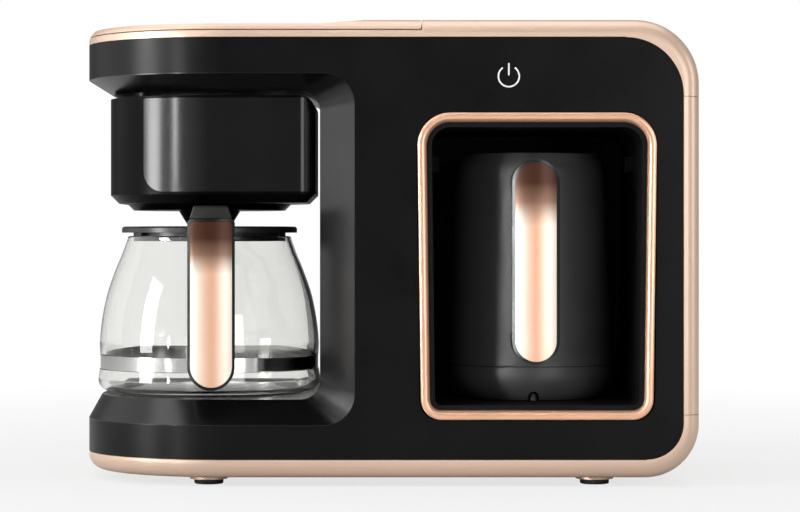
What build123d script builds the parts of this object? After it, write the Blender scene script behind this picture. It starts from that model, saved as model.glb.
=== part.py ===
from build123d import *
import os
from math import cos, radians, sin

# Two-sided coffee maker in millimetres. +X is the user's right, +Y the back and +Z up.
# The origin is the centre of the footprint, on the counter.
# The left half is a filter coffee bay: carafe on a warming plate under a swing-out holder.
# The right half is a niche with a heated Turkish coffee pot. The water tank stands between.

# ---- clearances -----------------------------------------------------------------------
seam_gap = 0.3            # shadow line between housing mouldings
rest_gap = 0.3            # under a piece that stands on another
pin_clearance = 0.05      # radial, round hinge pins
screw_clearance = 0.05    # radial, round screw shanks
hairline = 0.01           # left flat in the middle of a fully rounded end
overrun = 1.0             # how far a cut runs past a face, or a joined piece runs into another

# ---- housing --------------------------------------------------------------------------
overall_depth = 215.0
foot_height = 5.0
frame_proud = 1.5         # how far the niche frame stands out of the front
wall = 2.5
left_front_radius = 85.0  # plan radius of the big rounded corner
left_rear_radius = 12.0
top_right_radius = 37.0
bottom_right_radius = 31.0
lip_radius = 9.0          # rolled edge round the front and the left end
top_band = 10.5           # coloured edge seen above, below and right of the black front
bottom_band = 10.9
side_band = 9.5
fascia_top_radius = 33.0
fascia_bottom_radius = 21.0
upper_seam_drop = 44.4    # side panel's top seam, below the top of the body
lower_seam_rise = 36.5    # side panel's bottom seam, above the underside of the body

# ---- filter coffee bay ----------------------------------------------------------------
bay_mouth_width = 161.4   # left end of the body to the right edge of the bevel
bay_bevel_depth = 20.0
bay_bevel_side = 20.4
bay_bevel_top = 8.8
bay_bevel_bottom = 13.6
bay_mouth_radius = 18.0
bay_throat_radius = 11.5
base_height = 44.2        # underside of the body to the bay floor
overhang_height = 40.0    # bay ceiling to the top of the body
overhang_end_inset = 14.0  # slope at the left end of the overhang
base_end_inset = 7.0      # slope at the left end of the base
end_slope_radius = 72.0
liner_wall = 2.5
liner_edge = 0.4          # thin front edge of the liner, inside the fascia's cut-out

# ---- warming plate and water heater ---------------------------------------------------
plate_flange_radius = 57.0
plate_pan_radius = 53.0
plate_rise = 0.8
plate_pan_depth = 5.0
plate_seal_width = 4.5
plate_seal_height = 2.0
heater_leg = 32.0         # straight legs of the U, from the carafe axis
water_tube_reach = 18.0
clamp_width = 10.0
clamp_thickness = 2.0
sensor_angle = 42.0       # thermostat and fuse, each side of the heater's bend
thermostat_radius = 6.0
thermostat_height = 6.0
fuse_radius = 2.4
fuse_length = 12.0
barb_length = 9.0
heater_radius = 38.0
heater_width = 13.0
heater_height = 12.0
water_tube_radius = 4.0
water_tube_bore = 2.8
hose_radius = 5.5
hose_bend = 10.0

# ---- carafe ---------------------------------------------------------------------------
carafe_depth = 105.0      # axis behind the front of the body
carafe_turn = 4.4         # degrees that its handle is turned to the right
carafe_foot_radius = 67.8
carafe_foot_height = 7.0
carafe_waist_radius = 66.5
carafe_groove_radius = 65.7
carafe_belly_radius = 66.9
carafe_belly_height = 29.0
carafe_shoulder_radius = 57.4
carafe_shoulder_height = 73.3
carafe_neck_radius = 49.9
carafe_height = 94.1
glass_wall = 2.4
band_bottom = 13.6        # above the carafe's underside
band_height = 8.2
band_wall = 0.75
carafe_lid_radius = 53.5
carafe_lid_height = 3.7
carafe_lid_gap = 2.1      # rim of the glass to the underside of the lid's flange
carafe_handle_width = 27.4
carafe_handle_reach = 103.5
carafe_handle_bottom = 5.0
carafe_handle_top = 104.0
carafe_insert_width = 24.0
grip_thickness = 11.0
insert_thickness = 2.4
insert_top_radius = 2.0
lever_top = 108.6
lever_width = 22.0
lever_inner_reach = 46.0
lever_setback = 1.0       # behind the front of the handle
lever_front_radius = 6.0
lever_round = 2.0
lever_edge = 1.5
grip_top_radius = 3.0
window_radius = 8.0       # inner corners of both handles
bracket_width = 12.0
bracket_inset = 2.0       # front of the bracket behind the grip
bracket_clearance = 0.2
foot_cover = 3.0
carafe_arm_height = 15.0
handle_crown = 3.0
lid_hole_radius = 7.0
plug_depth = 3.5
plug_wall = 2.0
plug_clearance = 1.0
carafe_lid_chamfer = 1.0
carafe_lid_dish = 1.5     # how much the lid falls towards its inlet hole
pad_count = 3             # pads that the lid rests on
pad_width = 8.0
pad_gap = 0.1

# ---- swing-out filter holder ----------------------------------------------------------
valve_lid_gap = 0.5
valve_stand_out = 1.3     # how far the drip valve reaches below its outlet
outlet_drop = 8.0
dish_depth = 3.8
dish_radius = 50.0
drum_height = 62.6
holder_gap = 2.6             # drum to the bay ceiling
holder_side_gap = 3.0        # drum to the column wall
drum_front_depth = 22.0   # front of the drum behind the front of the body
drum_width = 125.0
outlet_offset = 4.5       # drip outlet and carafe axis, left of the drum's middle
drum_length = 142.0
drum_left_radius = 62.0
drum_right_radius = 10.0
drum_rear_left_radius = 22.0
drum_rear_right_radius = 76.0
drum_wall = 4.0
drum_chamfer = 5.0
panel_left_inset = 24.0   # glossy front panel, measured from the drum's edges
panel_right_inset = 1.2
panel_bottom_inset = 6.5
panel_top_inset = 1.4
panel_corner_radius = 12.0
panel_edge_radius = 1.0
panel_thickness = 2.0
panel_clearance = 0.15
pivot_inset_left = 14.0
pivot_inset_rear = 18.0
pivot_radius = 4.0
pivot_hub_radius = 7.0
pivot_head_radius = 5.8
pivot_head_height = 4.0
pivot_head_recess = 7.0
pivot_cap_radius = 9.0
basket_radius = 51.0
basket_foot_radius = 24.0
basket_wall = 1.8
basket_top_gap = 4.0
basket_rib_count = 12
basket_rib_depth = 2.2
basket_rib_width = 1.6
mesh_wall = 0.8
outlet_top_radius = 19.0
outlet_bottom_radius = 14.0
outlet_spigot_radius = 13.6
outlet_bore_radius = 10.0
outlet_seat_radius = 6.4
outlet_floor = 3.0
valve_button_radius = 5.6
valve_chamfer = 1.0
valve_seal_radius = 8.4
valve_seal_height = 2.5
valve_stem_radius = 2.4
valve_travel = 3.5
spring_wire_radius = 0.45
spring_radius = 4.4
spring_turns = 3.5
shower_radius = 29.0
shower_flange_radius = 35.0
shower_drop = 1.6
shower_hole_radius = 1.6
shower_ring_radius = 18.0
shower_ring_count = 10
shower_flange_height = 3.5
shower_skin = 1.4
drain_ring_radius = 12.0
drain_count = 6
drain_radius = 3.0
mesh_rise = 8.0

# ---- niche and its frame --------------------------------------------------------------
column_band = 35.9        # bevel's right edge to the niche frame
frame_width = 138.0
frame_taper = 1.95        # how much each side closes in towards the bottom
frame_top_radius = 19.0
frame_bottom_radius = 12.0
frame_band = 5.7
frame_round = 1.4
frame_depth = 8.0
frame_groove = 0.6
frame_right_band = 15.2   # frame to the coloured side band
niche_lip = 2.7
niche_lip_setback = 1.0   # front of the tub's lip behind the front of the body
niche_floor_height = 42.0  # above the underside of the body
niche_height = 159.9
niche_depth = 152.0
niche_wall = 2.2
niche_flange = 5.0
sensor_width = 5.0
sensor_height = 9.0
sensor_stand_out = 5.5
sensor_depth = 60.0
sensor_drop = 20.0        # centre below the niche ceiling
sensor_chamfer = 1.0
rail_width = 5.2
rail_height = 4.2

# ---- Turkish coffee pot ---------------------------------------------------------------
pot_depth = 88.5          # axis behind the front of the body
pot_radius = 49.5
pot_top_radius = 45.2
pot_mouth_radius = 41.0
pot_height = 146.3
pot_base_height = 19.7
pot_shoulder_drop = 12.0
pot_foot_radius = 41.0
pot_base_round = 15.0
pot_wall = 2.4
pot_liner_wall = 1.0
pot_floor_height = 28.0
pot_handle_width = 27.6
pot_handle_bottom = 22.5  # above the pot's underside
pot_handle_top = 141.4
pot_handle_setback = 10.0  # front of the handle behind the front of the body
pot_insert_width = 23.8
insert_margin = 1.8          # handle seen above and below its insert
handle_mount_height = 17.0
channel_width = 6.6
channel_height = 5.2
contact_pin_radius = 1.3
contact_pin_reach = 5.0
contact_pitch = 9.0
contact_height = 11.85    # pins above the pot's underside
dock_height = 16.0
dock_width = 40.0
dock_gap = 2.0
dock_round = 4.0
pot_seam = 0.4
base_floor_height = 7.0
base_boss_radius = 4.2
contact_depth = 9.0
pot_heater_height = 4.0
pot_heater_radius = 37.0
thermistor_radius = 4.0

# ---- lid and top ----------------------------------------------------------------------
lid_width = 199.6         # from the left end of the body
lid_seam_drop = 5.7       # lid's lower edge below the top of the body
lid_step = 2.3            # how much lower the lid's flat part lies
lid_ramp_start = 142.2    # from the left end of the body
lid_ramp_end = 168.6
lid_hinge_inset = 9.5     # hinge axis in front of the back of the body
lid_barrel_radius = 2.4
lid_pin_radius = 1.0
lid_pin_length = 24.0
lid_lug_width = 8.0
hinge_recess = 2.4        # how far the hinge lugs are let into the rear strip
lid_lug_inset = 32.0
lid_skin = 1.7
lid_liner_height = 2.6
lid_border = 5.0          # solid edge of the lid, outside its liner
deck_thickness = 2.4
fill_width = 42.0
fill_length = 70.0

# ---- water tank -----------------------------------------------------------------------
tank_wall = 2.0
tank_clearance = 0.8
tank_front_gap = 3.0      # behind the bay's bevel
tank_rear_gap = 26.0      # room for the riser hose behind the tank
tank_bottom = 76.0
tank_radius = 8.0
tank_seal_height = 3.0
tank_seal_width = 3.0
spigot_radius = 5.0
spigot_bore = 3.4
spigot_length = 8.0
valve_body_radius = 8.0
valve_body_length = 10.0

# ---- electronics, fasteners and feet --------------------------------------------------
board_thickness = 1.6
touch_board_width = 86.0
touch_board_height = 26.0
touch_board_drop = 8.0    # below the top edge of the fascia
buzzer_radius = 6.0
buzzer_height = 5.0
power_board_length = 110.0
power_board_height = 120.0
power_board_gap = 8.0     # board to the side panel, the length of its posts
relay_size = 14.0
relay_pitch = 21.0
capacitor_radius = 7.0
capacitor_height = 14.0
foot_radius = 8.5
foot_pad_radius = 11.0
foot_pad_height = 2.0
foot_stem_radius = 3.0
foot_round = 1.0
foot_left_inset = 76.0
foot_right_inset = 59.0
foot_front_inset = 26.0
foot_rear_inset = 22.0
screw_radius = 1.6
screw_head_radius = 3.3
screw_head_height = 2.2
screw_length = 16.0
boss_end = 1.0            # closed end of a screw boss
post_radius = 5.2
screw_boss_rise = 25.0
screw_spread = 48.0
screw_reach = 74.0
gland_inset = 60.0        # left of the body's right end
gland_radius = 8.0
gland_bore = 3.6
gland_flange = 2.2
vent_slot_width = 3.0
vent_slot_length = 46.0
vent_slot_count = 6
vent_slot_pitch = 8.0

# ---- levels and places worked out from the sizes --------------------------------------
bay_floor = foot_height + base_height
plate_top = bay_floor + plate_rise
carafe_base = plate_top + rest_gap
carafe_rim = carafe_base + carafe_height
carafe_lid_top = carafe_rim + carafe_lid_gap + carafe_lid_height
valve_bottom = carafe_lid_top + valve_lid_gap
outlet_bottom = valve_bottom + valve_stand_out
dish_bottom = outlet_bottom + outlet_drop
drum_bottom = dish_bottom + dish_depth
drum_top = drum_bottom + drum_height
bay_ceiling = drum_top + holder_gap
overall_height = bay_ceiling + overhang_height
bay_mouth_top = bay_ceiling + bay_bevel_top
bay_mouth_bottom = bay_floor - bay_bevel_bottom
fascia_top = overall_height - top_band
fascia_bottom = foot_height + bottom_band

overall_width = bay_mouth_width + column_band + frame_width + frame_right_band + side_band
body_left = -overall_width / 2
body_right = overall_width / 2
body_back = overall_depth / 2
body_front = frame_proud - overall_depth / 2
rear_inside = body_back - wall
bay_mouth_right = body_left + bay_mouth_width
column_left = bay_mouth_right - bay_bevel_side
fascia_right = body_right - side_band
niche_x = bay_mouth_right + column_band + frame_width / 2
niche_floor = foot_height + niche_floor_height
niche_ceiling = niche_floor + niche_height
niche_back = body_front + niche_depth
frame_rim = niche_lip + frame_band
frame_back = body_front - frame_proud + frame_depth
flange_back = frame_back + seam_gap + niche_wall

drum_right = column_left - holder_side_gap
drum_left = drum_right - drum_width
drum_front = body_front + drum_front_depth
drum_rear = drum_front + drum_length
pivot_x = drum_left + pivot_inset_left
pivot_y = drum_rear - pivot_inset_rear
carafe_x = drum_left + drum_width / 2 - outlet_offset
carafe_y = body_front + carafe_depth
pot_y = body_front + pot_depth
pot_bottom = niche_floor + rest_gap

lid_right = body_left + lid_width
lid_seam = overall_height - lid_seam_drop
lid_flat = overall_height - lid_step
hinge_y = body_back - lid_hinge_inset
hinge_z = lid_flat - lid_barrel_radius - seam_gap
deck_top = fascia_top - seam_gap
deck_bottom = deck_top - deck_thickness
beyond = overall_width    # reach of cutting blocks past the body


# ---- helpers --------------------------------------------------------------------------
def block(left, right, front, back, bottom, top):
    """A plain block between two opposite corners."""
    middle = ((left + right) / 2, (front + back) / 2, (bottom + top) / 2)
    return Pos(*middle) * Box(right - left, back - front, top - bottom)


def post(x, y, bottom, top, radius):
    """An upright cylinder."""
    return Pos(x, y, (bottom + top) / 2) * Cylinder(radius, top - bottom)


def bar_y(x, z, front, back, radius):
    """A cylinder that runs from front to back."""
    return Pos(x, (front + back) / 2, z) * Rot(90, 0, 0) * Cylinder(radius, back - front)


def bar_x(y, z, left, right, radius):
    """A cylinder that runs from left to right."""
    return Pos((left + right) / 2, y, z) * Rot(0, 90, 0) * Cylinder(radius, right - left)


def rounded(left, right, low, high, radii):
    """A rectangle with a radius for each corner, anticlockwise from the low left one."""
    corners = [(left, low), (right, low), (right, high), (left, high)]
    return make_face(FilletPolyline(*corners, radius=radii, close=True))


def front_block(shape, front, back):
    """A front-view outline carried from front to back."""
    return extrude(Plane.XZ.offset(-back) * shape, amount=back - front)


def plan_block(shape, bottom, top):
    """A plan outline carried from bottom to top."""
    return extrude(Pos(0, 0, bottom) * shape, amount=top - bottom)


def turned(points, x=0.0, y=0.0, z=0.0):
    """A solid of revolution about an upright axis, from (radius, height) points."""
    return lathed(Polyline(*points, close=True), x, y, z)


def lathed(outline, x=0.0, y=0.0, z=0.0):
    """A solid of revolution about an upright axis, from a closed outline."""
    return Pos(x, y, z) * revolve(Plane.XZ * make_face(outline), Axis.Z)


# ---- housing --------------------------------------------------------------------------
def body_plan(inset=0.0):
    """Plan of the body: a big rounded corner at the left front."""
    radii = [left_front_radius - inset, 0, 0, left_rear_radius - inset]
    return rounded(body_left + inset, body_right - inset, body_front + inset, body_back - inset, radii)


def lip_edges(body):
    """Edges of the front, top and bottom that carry the rolled lip."""
    front = body.faces().sort_by(Axis.Y)[0]
    top = body.faces().sort_by(Axis.Z)[-1]
    bottom = body.faces().sort_by(Axis.Z)[0]
    back = body.bounding_box().max.Y
    chosen = []
    for edge in front.edges() + top.edges() + bottom.edges():
        middle, way = edge.center(), edge.tangent_at(0.5)
        at_back = abs(middle.Y - back) < seam_gap
        smooth = (abs(way.Z) > 0.9 and middle.X < 0) or (abs(way.Y) > 0.9 and middle.X > 0)
        if not at_back and not smooth:
            chosen.append(edge)
    return chosen


def envelope(inset=0.0):
    """The whole body as one block with its rounded corners and lip, drawn in by inset."""
    bottom, top = foot_height + inset, overall_height - inset
    left, right, front = body_left + inset, body_right - inset, body_front + inset
    past_back = body_back + left_rear_radius
    long_plan = rounded(left, right, front, past_back, [left_front_radius - inset, 0, 0, 0])
    body = plan_block(long_plan, bottom, top)
    long_edges = body.edges().filter_by(Axis.Y).group_by(Axis.X)[-1].sort_by(Axis.Z)
    body = fillet(long_edges[0], bottom_right_radius - inset)
    long_edges = body.edges().filter_by(Axis.Y).group_by(Axis.X)[-1].sort_by(Axis.Z)
    body = fillet(long_edges[-1], top_right_radius - inset)
    body = fillet(lip_edges(body), lip_radius - inset)
    return body & plan_block(body_plan(inset), bottom, top)


def bay_outline(right, bottom, top, radius, grow):
    """Front view of the bay, open to the left."""
    radii = [0, radius + grow, radius + grow, 0]
    return rounded(-beyond, right + grow, bottom - grow, top + grow, radii)


def end_slope(edge_z, face_z, inset, edge_grow, face_grow):
    """Wedge that slopes the left end between the body's side and the bay's face."""
    sink = 1 if face_z > edge_z else -1
    rear_radius = left_rear_radius
    low = rounded(body_left + edge_grow, beyond, body_front + edge_grow, body_back + rear_radius,
                  [left_front_radius, 0, 0, 0])
    high = rounded(body_left + inset + face_grow, beyond, body_front + bay_bevel_depth + face_grow,
                   body_back + rear_radius, [end_slope_radius, 0, 0, 0])
    edge_level = edge_z - sink * edge_grow
    face_level = face_z - sink * face_grow
    core = loft([Pos(0, 0, edge_level) * low, Pos(0, 0, face_level) * high], ruled=True)
    bottom, top = sorted((edge_level, face_level))
    end = block(-beyond, body_left + left_front_radius, -beyond, beyond, bottom, top)
    return end - core


def bay_space(edge_grow=0.0, grow=0.0):
    """The C-shaped opening: a bevelled mouth, then a straight throat to the back."""
    mouth = bay_outline(bay_mouth_right, bay_mouth_bottom, bay_mouth_top, bay_mouth_radius, edge_grow)
    throat = bay_outline(column_left, bay_floor, bay_ceiling, bay_throat_radius, grow)
    throat_front = body_front + bay_bevel_depth
    bevel = loft([Plane.XZ.offset(-body_front) * mouth, Plane.XZ.offset(-throat_front) * throat],
                 ruled=True)
    space = front_block(mouth, body_front - lip_radius, body_front) + bevel
    space += front_block(throat, throat_front, body_back + lip_radius)
    space += end_slope(bay_mouth_bottom, bay_floor, base_end_inset, edge_grow, grow)
    return space + end_slope(bay_mouth_top, bay_ceiling, overhang_end_inset, edge_grow, grow)


def niche_outline(grow):
    """Front view of the niche frame, a little narrower at the bottom."""
    half_top = frame_width / 2 + grow
    half_bottom = half_top - frame_taper
    bottom = niche_floor - frame_rim - grow
    top = niche_ceiling + frame_rim + grow
    corners = [(niche_x - half_bottom, bottom), (niche_x + half_bottom, bottom),
               (niche_x + half_top, top), (niche_x - half_top, top)]
    low, high = frame_bottom_radius + grow, frame_top_radius + grow
    return make_face(FilletPolyline(*corners, radius=[low, low, high, high], close=True))


def fascia_block():
    """Everything behind the black part of the front, to the left end."""
    radii = [0, fascia_bottom_radius, fascia_top_radius, 0]
    outline = rounded(-beyond, fascia_right, fascia_bottom, fascia_top, radii)
    return front_block(outline, -beyond, beyond)


body_block = envelope()
body_shell = body_block - envelope(wall) - block(-beyond, beyond, rear_inside, beyond, 0, beyond)
open_bay = bay_space()
liner_bay = bay_space(liner_edge, liner_wall)
coloured_shell = body_shell - fascia_block()


def front_fascia():
    """Black front moulding that wraps round the left end, cut out for the bay and the niche."""
    skin = body_shell & fascia_block()
    return skin - liner_bay - front_block(niche_outline(frame_groove), -beyond, 0)


def bay_liner():
    """Gloss C-shaped liner: bevel, ceiling, column wall and floor of the bay."""
    inside = body_block - block(-beyond, beyond, rear_inside, beyond, 0, beyond)
    liner = (liner_bay & inside) - open_bay
    liner -= post(carafe_x, carafe_y, bay_mouth_bottom, bay_floor + plate_rise, plate_pan_radius + seam_gap)
    ceiling_cut = bay_ceiling - overrun
    liner -= post(carafe_x, carafe_y, ceiling_cut, bay_mouth_top, shower_radius + seam_gap)
    liner -= post(pivot_x, pivot_y, ceiling_cut, bay_mouth_top, pivot_radius + pin_clearance)
    for x, y in bay_screw_places():
        boss = post(x, y, screw_boss_bottom(), bay_floor - liner_wall, post_radius)
        liner += boss - post(x, y, 0, bay_floor - liner_wall - boss_end, screw_radius + screw_clearance)
    return liner


def base_tray():
    """Coloured bottom tray, turned up all round and higher at the right corner."""
    top = foot_height + lower_seam_rise - seam_gap / 2
    tray = coloured_shell & block(-beyond, beyond, -beyond, beyond, 0, top)
    front_edge = fascia_bottom - seam_gap
    tray -= block(-beyond, fascia_right - fascia_bottom_radius, -beyond, beyond, front_edge, top)
    for x, y in foot_places():
        tray += post(x, y, foot_height - foot_pad_height, foot_height + wall, foot_pad_radius)
        tray -= post(x, y, 0, beyond, foot_stem_radius + screw_clearance)
    for x, y in base_screw_places():
        top = screw_boss_bottom() - seam_gap
        tray += post(x, y, foot_height + wall / 2, top, post_radius)
        tray -= post(x, y, 0, top - wall, screw_head_radius + seam_gap)
        tray -= post(x, y, 0, beyond, screw_radius + seam_gap)
    for x, z in rear_screw_places()[:2]:
        tray += rear_boss(x, foot_height + wall / 2, z + post_radius)
        tray -= rear_screw_hole(x, z)
    return tray


def right_side_panel():
    """Coloured end panel between the tray and the top cover, with posts for the mains board."""
    bottom = foot_height + lower_seam_rise + seam_gap / 2
    top = overall_height - upper_seam_drop - seam_gap / 2
    panel = coloured_shell & block(0, beyond, -beyond, beyond, bottom, top)
    return panel + power_board_posts()


def lid_space(gap):
    """The room that the lid takes out of the top, shut or open."""
    upper = block(-beyond, lid_right + gap, -beyond, hinge_y, lid_seam - gap, beyond)
    low = swing_room(body_left - overrun, lid_flat - hinge_z + gap, gap)
    return upper + low + swing_room(ramp_foot() - gap, overall_height - hinge_z + gap, gap)


def swing_room(start, reach, gap):
    """Room round the hinge, right of x = start, for a lid whose top turns at the given reach."""
    front, back = hinge_y - reach, hinge_y + reach
    over = Polyline((back, hinge_z), (back, beyond), (front, beyond), (front, hinge_z))
    outline = make_face(TangentArc((front, hinge_z), (back, hinge_z), tangent=(0, -1)) + over)
    return Pos(start, 0, 0) * extrude(Plane.YZ * outline, amount=lid_right + gap - start)


def ramp_foot():
    """X where the ramp in the top starts to rise."""
    return body_left + lid_ramp_start


def step_cut():
    """What is taken off the top so that its left part lies lower, with a short ramp."""
    end = body_left + lid_ramp_end
    low, high = [(-beyond, lid_flat), (ramp_foot(), lid_flat)], [(end, overall_height), (end, beyond)]
    return front_block(make_face(Polyline(*low, *high, (-beyond, beyond), close=True)), -beyond, beyond)


def lug_places():
    """Centres of the two hinge lugs, along the hinge axis."""
    return body_left + lid_lug_inset, ramp_foot() - lid_lug_inset


def hinge_lugs(grow):
    """The lugs on the top cover that hold the lid's hinge pins; grow widens them for cutting."""
    reach = lid_barrel_radius + grow
    round_end = reach - hairline
    back = hinge_y + lid_barrel_radius + hinge_recess + grow
    outline = rounded(hinge_y - reach, back, hinge_z - reach, hinge_z + reach, [round_end, 0, 0, round_end])
    lug = extrude(Plane.YZ * outline, amount=lid_lug_width / 2 + grow, both=True)
    return [Pos(x, 0, 0) * lug for x in lug_places()]


def top_cover():
    """Coloured top: full skin over the niche side, and the rim that the lid closes on."""
    bottom = overall_height - upper_seam_drop + seam_gap / 2
    cover = coloured_shell & block(-beyond, beyond, -beyond, beyond, bottom, beyond)
    front_edge = fascia_top + seam_gap
    cover -= block(-beyond, fascia_right - fascia_top_radius, -beyond, beyond, 0, front_edge)
    strip_front = hinge_y + lid_barrel_radius + seam_gap
    rear_strip = block(-beyond, lid_right + wall, strip_front, rear_inside, lid_seam - seam_gap, beyond)
    end_wall = block(lid_right + seam_gap, lid_right + wall, body_front + wall / 2, rear_inside,
                     front_edge, overall_height - wall / 2)
    cover += (rear_strip + end_wall) & body_block
    cover -= lid_space(2 * seam_gap)
    cover -= step_cut()
    cover += hinge_lugs(0)
    for x in lug_places():
        cover -= bar_x(hinge_y, hinge_z, x - lid_lug_width, x + lid_lug_width, lid_pin_radius + pin_clearance)
    for x, z in rear_screw_places()[2:]:
        cover += rear_boss(x, z - post_radius, overall_height - wall / 2)
        cover -= rear_screw_hole(x, z)
    return cover


def rear_boss(x, bottom, top):
    """Upright boss inside the rear cover for one of its screws."""
    return block(x - post_radius, x + post_radius, rear_inside - screw_length, rear_inside, bottom, top)


def rear_screw_hole(x, z):
    """Blind hole for a screw of the rear cover."""
    return bar_y(x, z, rear_inside - screw_length + boss_end, beyond, screw_radius + screw_clearance)


def rear_cover():
    """Flat back of the housing, open where the bay runs through."""
    cover = body_block & block(-beyond, beyond, rear_inside, beyond, 0, beyond)
    cover -= liner_bay
    cover -= block(-beyond, lid_right + seam_gap, -beyond, beyond, lid_flat, beyond)
    for x, z in rear_screw_places():
        cover -= bar_y(x, z, 0, beyond, screw_radius + seam_gap)
        cover -= bar_y(x, z, body_back - wall / 2, beyond, screw_head_radius + seam_gap)
    cover -= bar_y(gland_x(), gland_z(), 0, beyond, gland_radius - gland_flange)
    first = niche_x - vent_slot_pitch * (vent_slot_count - 1) / 2
    slot = SlotCenterToCenter(vent_slot_length, vent_slot_width)
    for step in range(vent_slot_count):
        x = first + step * vent_slot_pitch
        cover -= front_block(Pos(x, (niche_floor + niche_ceiling) / 2) * Rot(0, 0, 90) * slot, 0, beyond)
    return cover


# ---- lid ------------------------------------------------------------------------------
def tank_lid():
    """Coloured lid over the left part of the top, hinged along its rear edge."""
    lid = body_block & block(-beyond, lid_right, -beyond, hinge_y, lid_seam, beyond)
    lid += bar_x(hinge_y, hinge_z, body_left + left_rear_radius, lid_right, lid_barrel_radius)
    high_barrel = bar_x(hinge_y, hinge_z, ramp_foot(), lid_right, overall_height - hinge_z)
    lid += high_barrel & block(-beyond, beyond, 0, beyond, hinge_z - lid_barrel_radius, beyond)
    hollow = plan_block(body_plan(lid_border), lid_seam - overrun, lid_flat - lid_skin)
    hollow &= block(-beyond, lid_right - lid_border, -beyond, hinge_y - lid_barrel_radius - wall, 0, beyond)
    lid -= hollow
    lid -= step_cut()
    lid -= hinge_lugs(seam_gap)
    half, notch_front = lid_lug_width / 2 + seam_gap, hinge_y - lid_barrel_radius - seam_gap
    for x in lug_places():
        lid -= block(x - half, x + half, notch_front, beyond, hinge_z, beyond)
    return lid - bar_x(hinge_y, hinge_z, -beyond, beyond, lid_pin_radius + pin_clearance)


def lid_liner():
    """Inner panel under the lid, which drops inside the rim."""
    inset = lid_border + seam_gap
    panel = plan_block(body_plan(inset), lid_flat - lid_skin - lid_liner_height, lid_flat - lid_skin)
    rear = hinge_y - lid_barrel_radius - wall - seam_gap
    return panel & block(-beyond, lid_right - inset, -beyond, rear, 0, beyond)


def lid_pins():
    """Two steel pins held in the lugs, on which the lid's barrel turns."""
    return [bar_x(hinge_y, hinge_z, x - lid_pin_length / 2, x + lid_pin_length / 2, lid_pin_radius)
            for x in lug_places()]


def top_deck():
    """Deck under the lid, with the opening that the tank is filled through."""
    deck = plan_block(body_plan(wall + seam_gap), deck_bottom, deck_top)
    deck &= block(-beyond, lid_right - seam_gap, -beyond, rear_inside - seam_gap, 0, beyond)
    x, y = tank_middle()
    opening = rounded(x - fill_width / 2, x + fill_width / 2, y - fill_length / 2, y + fill_length / 2,
                      [tank_radius] * 4)
    return deck - plan_block(opening, 0, beyond)


# ---- niche ----------------------------------------------------------------------------
def niche_frame():
    """Polished frame, proud of the front, with rounded edges."""
    front = body_front - frame_proud
    frame = front_block(niche_outline(0), front, frame_back)
    frame -= front_block(niche_outline(-frame_band), front, frame_back)
    return fillet(frame.faces().sort_by(Axis.Y)[0].edges(), frame_round)


def niche_liner():
    """Black tub behind the frame, with a flange that clamps the frame to the fascia."""
    front = body_front + niche_lip_setback
    inside = niche_outline(-frame_rim)
    outside = niche_outline(niche_wall - frame_rim)
    tub = front_block(outside, flange_back - niche_wall, niche_back + niche_wall)
    tub += front_block(niche_outline(-frame_band - seam_gap), front, flange_back)
    tub += front_block(niche_outline(niche_flange), flange_back - niche_wall, flange_back)
    rim = front_block(niche_outline(niche_flange), body_front + wall + seam_gap, flange_back)
    tub += rim - front_block(niche_outline(frame_groove), body_front, flange_back)
    tub -= front_block(inside, body_front, niche_back)
    for x, y in niche_screw_places():
        boss = post(x, y, screw_boss_bottom(), niche_floor - niche_wall / 2, post_radius)
        tub += boss - post(x, y, 0, niche_floor - niche_wall, screw_radius + screw_clearance)
    return tub - [sensor_hole(side) for side in (-1, 1)]


def sensor_wall(side):
    """X of the niche's side wall at the height of the foam sensors."""
    rise = (niche_height - sensor_drop + frame_rim) / (niche_height + 2 * frame_rim)
    return niche_x + side * (frame_width / 2 - frame_rim - frame_taper * (1 - rise))


def sensor_block(side, grow, inner, outer):
    """Block through the niche's side wall at a foam sensor."""
    x = sensor_wall(side)
    left, right = sorted((x - side * inner, x + side * outer))
    y, z = body_front + sensor_depth, niche_ceiling - sensor_drop
    return block(left, right, y - sensor_width / 2 - grow, y + sensor_width / 2 + grow,
                 z - sensor_height / 2 - grow, z + sensor_height / 2 + grow)


def sensor_hole(side):
    """Window cut for a foam sensor."""
    return sensor_block(side, seam_gap / 2, niche_wall, 2 * niche_wall)


def foam_sensors():
    """Two small optical windows that face each other above the pot's shoulder."""
    windows = [sensor_block(side, 0, sensor_stand_out, niche_wall + overrun) for side in (-1, 1)]
    return [chamfer(window.edges().filter_by(Axis.Z), sensor_chamfer) for window in windows]


def pot_rail():
    """Guide rail on the niche floor that the channel in the pot's base slides over."""
    front = pot_y - pot_foot_radius
    nose = rail_width / 2 - hairline
    left, right = niche_x - rail_width / 2, niche_x + rail_width / 2
    outline = rounded(left, right, front, dock_front(), [nose, nose, 0, 0])
    return plan_block(outline, niche_floor, niche_floor + rail_height)


def dock_front():
    """Front face of the socket block behind the pot."""
    return pot_y + pot_radius + dock_gap


def contact_places():
    """X and Z of the three contact pins of the pot."""
    return [(niche_x + step * contact_pitch, pot_bottom + contact_height) for step in (-1, 0, 1)]


def dock_contacts():
    """Socket block at the back of the niche."""
    dock = block(niche_x - dock_width / 2, niche_x + dock_width / 2, dock_front(), niche_back,
                 niche_floor, niche_floor + dock_height)
    dock = fillet(dock.edges().filter_by(Axis.Y).group_by(Axis.Z)[-1], dock_round)
    for x, z in contact_places():
        dock -= bar_y(x, z, 0, dock_front() + contact_pin_reach, contact_pin_radius + seam_gap)
    return dock


# ---- water tank and heater ------------------------------------------------------------
def tank_limits():
    """Left, right, front and back of the tank, inside the column."""
    left = column_left + liner_wall + tank_clearance
    right = niche_x - frame_width / 2 - niche_flange - tank_clearance
    front = body_front + bay_bevel_depth + tank_front_gap
    return left, right, front, rear_inside - tank_rear_gap


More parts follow.
